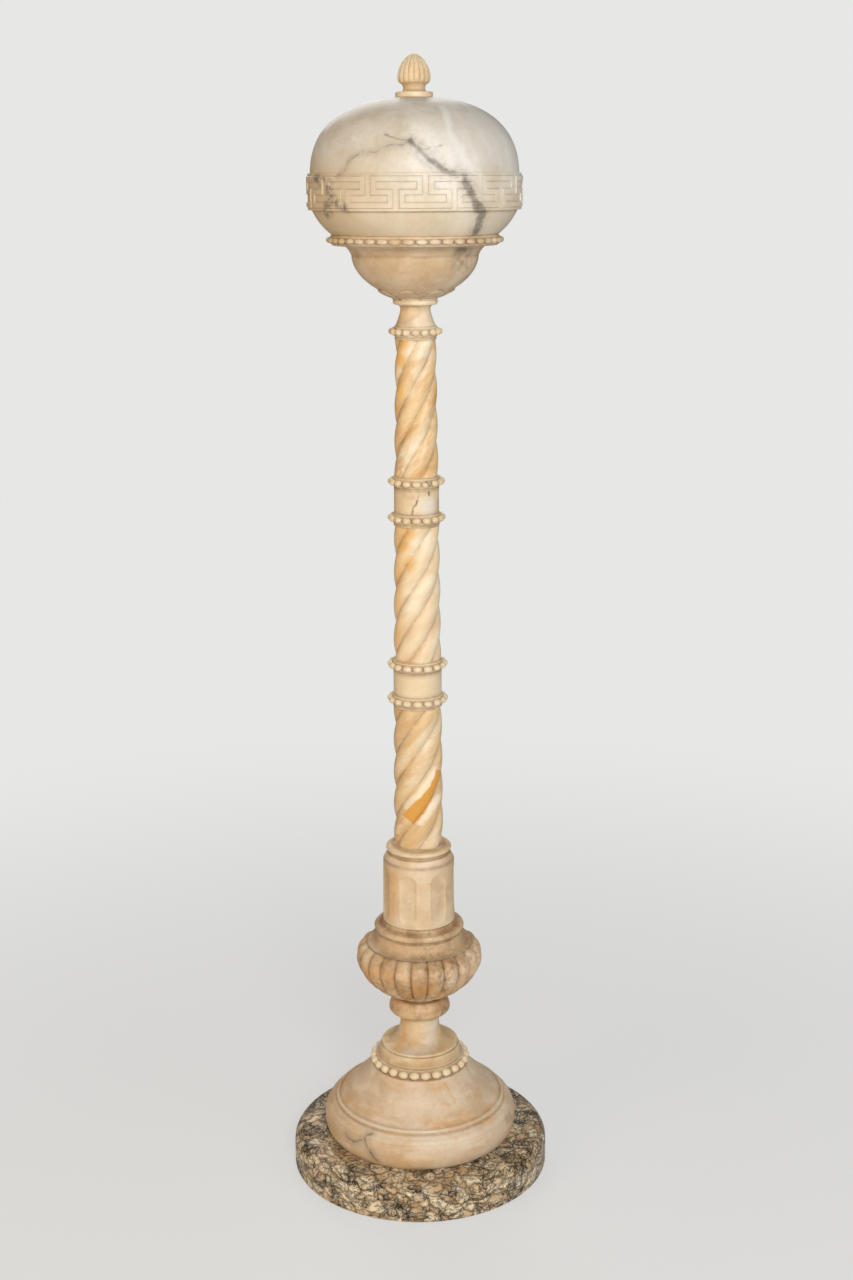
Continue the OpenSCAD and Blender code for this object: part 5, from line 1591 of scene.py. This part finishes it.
cut_with(finial, [wedge("notch", NOTCH_W, NOTCH_DEEP, -BUD_CLEAR, BUD_CLEAR),
                  wedge("slit", SLIT_W, SLIT_DEEP, -BUD_CLEAR, SLIT_END)])
keep("finial", finial, finial_stone)

# %% [markdown]
# ## Fittings keep their CAD shape
# The tube, nuts, washers, lampholder, bulb, bush and felt are right as they were packed. They only get
# their finishes, by the material slot that the record gives each of them.

# %% Finish the fittings, and tell the frame what stands for what
FITTING_FINISH = {"brass": brass, "steel": steel, "porcelain": porcelain, "opal_glass": opal,
                  "black_glass": black_glass, "green_felt": felt}
slot_of = {part["node"]: part["material_slot"] for part in frame["record"]["subparts"]}
body_of = {node: body for body, nodes in frame["record"]["behaviour"]["bodies"].items() for node in nodes}

for node, made in frame["nodes"].items():
    if node in pieces:
        piece = pieces[node]
        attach(piece, body_of[node])
        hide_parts(node)
    else:
        for spot in made.material_slots:
            spot.material = FITTING_FINISH[slot_of[node]]
print(len(pieces), "stones carved,", len(frame["nodes"]) - len(pieces), "fittings kept")

# %% [markdown]
# ## Floor, world and lamps
# The floor is pale and plain. Near the lamp it is an ordinary matt surface that takes a soft shadow, and
# further out it fades into the same pale tone that the camera sees in the world, so no horizon shows.
# Large area lamps at both sides light the stone at a plain level, and the world fills the shadows.

# %% Stage and light
PALE = (0.80, 0.80, 0.79, 1.0)
FLOOR_HALF = 30.0
WORLD_FILL = 0.22
FADE = (0.4, 2.4)
FLOOR_GLOW = 0.62


def seen_directly(wire):
    """1 for what the camera sees, also through glass, and 0 for what only lights the scene."""
    path = wire.node("ShaderNodeLightPath", out="Is Camera Ray")
    return path.math("MAXIMUM", path.other("Is Transmission Ray"))


def pale_floor():
    made = bpy.data.materials.new("pale_floor")
    made.use_nodes = True
    made.node_tree.nodes.clear()
    wire = Wire(made.node_tree)
    place = wire.node("ShaderNodeTexCoord", out="Object")
    far = vector("LENGTH", place, (0, 0, 0), out=1).rise(*FADE) * (1 - FLOOR_GLOW) + FLOOR_GLOW
    matt = wire.node("ShaderNodeBsdfDiffuse", {"Color": PALE})
    glow = wire.node("ShaderNodeEmission", {"Color": PALE, "Strength": 1.0})
    shade = wire.node("ShaderNodeMixShader", {0: far * seen_directly(wire), 1: matt, 2: glow})
    shade.node("ShaderNodeOutputMaterial", {"Surface": shade})
    return made


corners = [(x * FLOOR_HALF, y * FLOOR_HALF, 0) for x, y in ((-1, -1), (1, -1), (1, 1), (-1, 1))]
floor = link(bpy.data.objects.new("floor", new_mesh("floor", corners, [(0, 1, 2, 3)])))
floor.data.materials.append(pale_floor())
floor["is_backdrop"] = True

world = bpy.data.worlds.new("pale_room")
world.use_nodes = True
world.node_tree.nodes.clear()
wire = Wire(world.node_tree)
level = seen_directly(wire) * (1 - WORLD_FILL) + WORLD_FILL
sky = wire.node("ShaderNodeBackground", {"Color": PALE, "Strength": level})
sky.node("ShaderNodeOutputWorld", {"Surface": sky})
scene.world = world

WARM = (1.0, 0.73, 0.43)
NEUTRAL = (1.0, 1.0, 1.0)
LAMPS = {"key_lamp": ((0.5, -3.4, 2.3), 1.5, 80, NEUTRAL),
         "left_lamp": ((-2.4, -2.0, 1.6), 1.6, 24, WARM),
         "right_lamp": ((2.4, -1.8, 1.8), 1.6, 12, NEUTRAL),
         "back_lamp": ((-0.4, 2.6, 2.8), 1.8, 22, NEUTRAL)}
AIM = Vector((0, 0, 0.95))
for name, (place, wide, watts, tone) in LAMPS.items():
    light = bpy.data.lights.new(name, "AREA")
    light.shape = "DISK"
    light.size = wide
    light.energy = watts
    light.color = tone
    lamp = link(bpy.data.objects.new(name, light))
    facing = (AIM - Vector(place)).to_track_quat("-Z", "Y")
    lamp.matrix_world = Matrix.Translation(place) @ facing.to_matrix().to_4x4()

scene.view_settings.view_transform = "Standard"
print("lamps", len(LAMPS))

# %% [markdown]
# ## Measure and finish
# The box that the finished lamp fills is measured and printed. The finished lamp has to stay in the box of
# the imported model.

# %% Measure and print the size of the lamp
low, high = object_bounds()
print("visual box", [round(v, 4) for v in high - low])
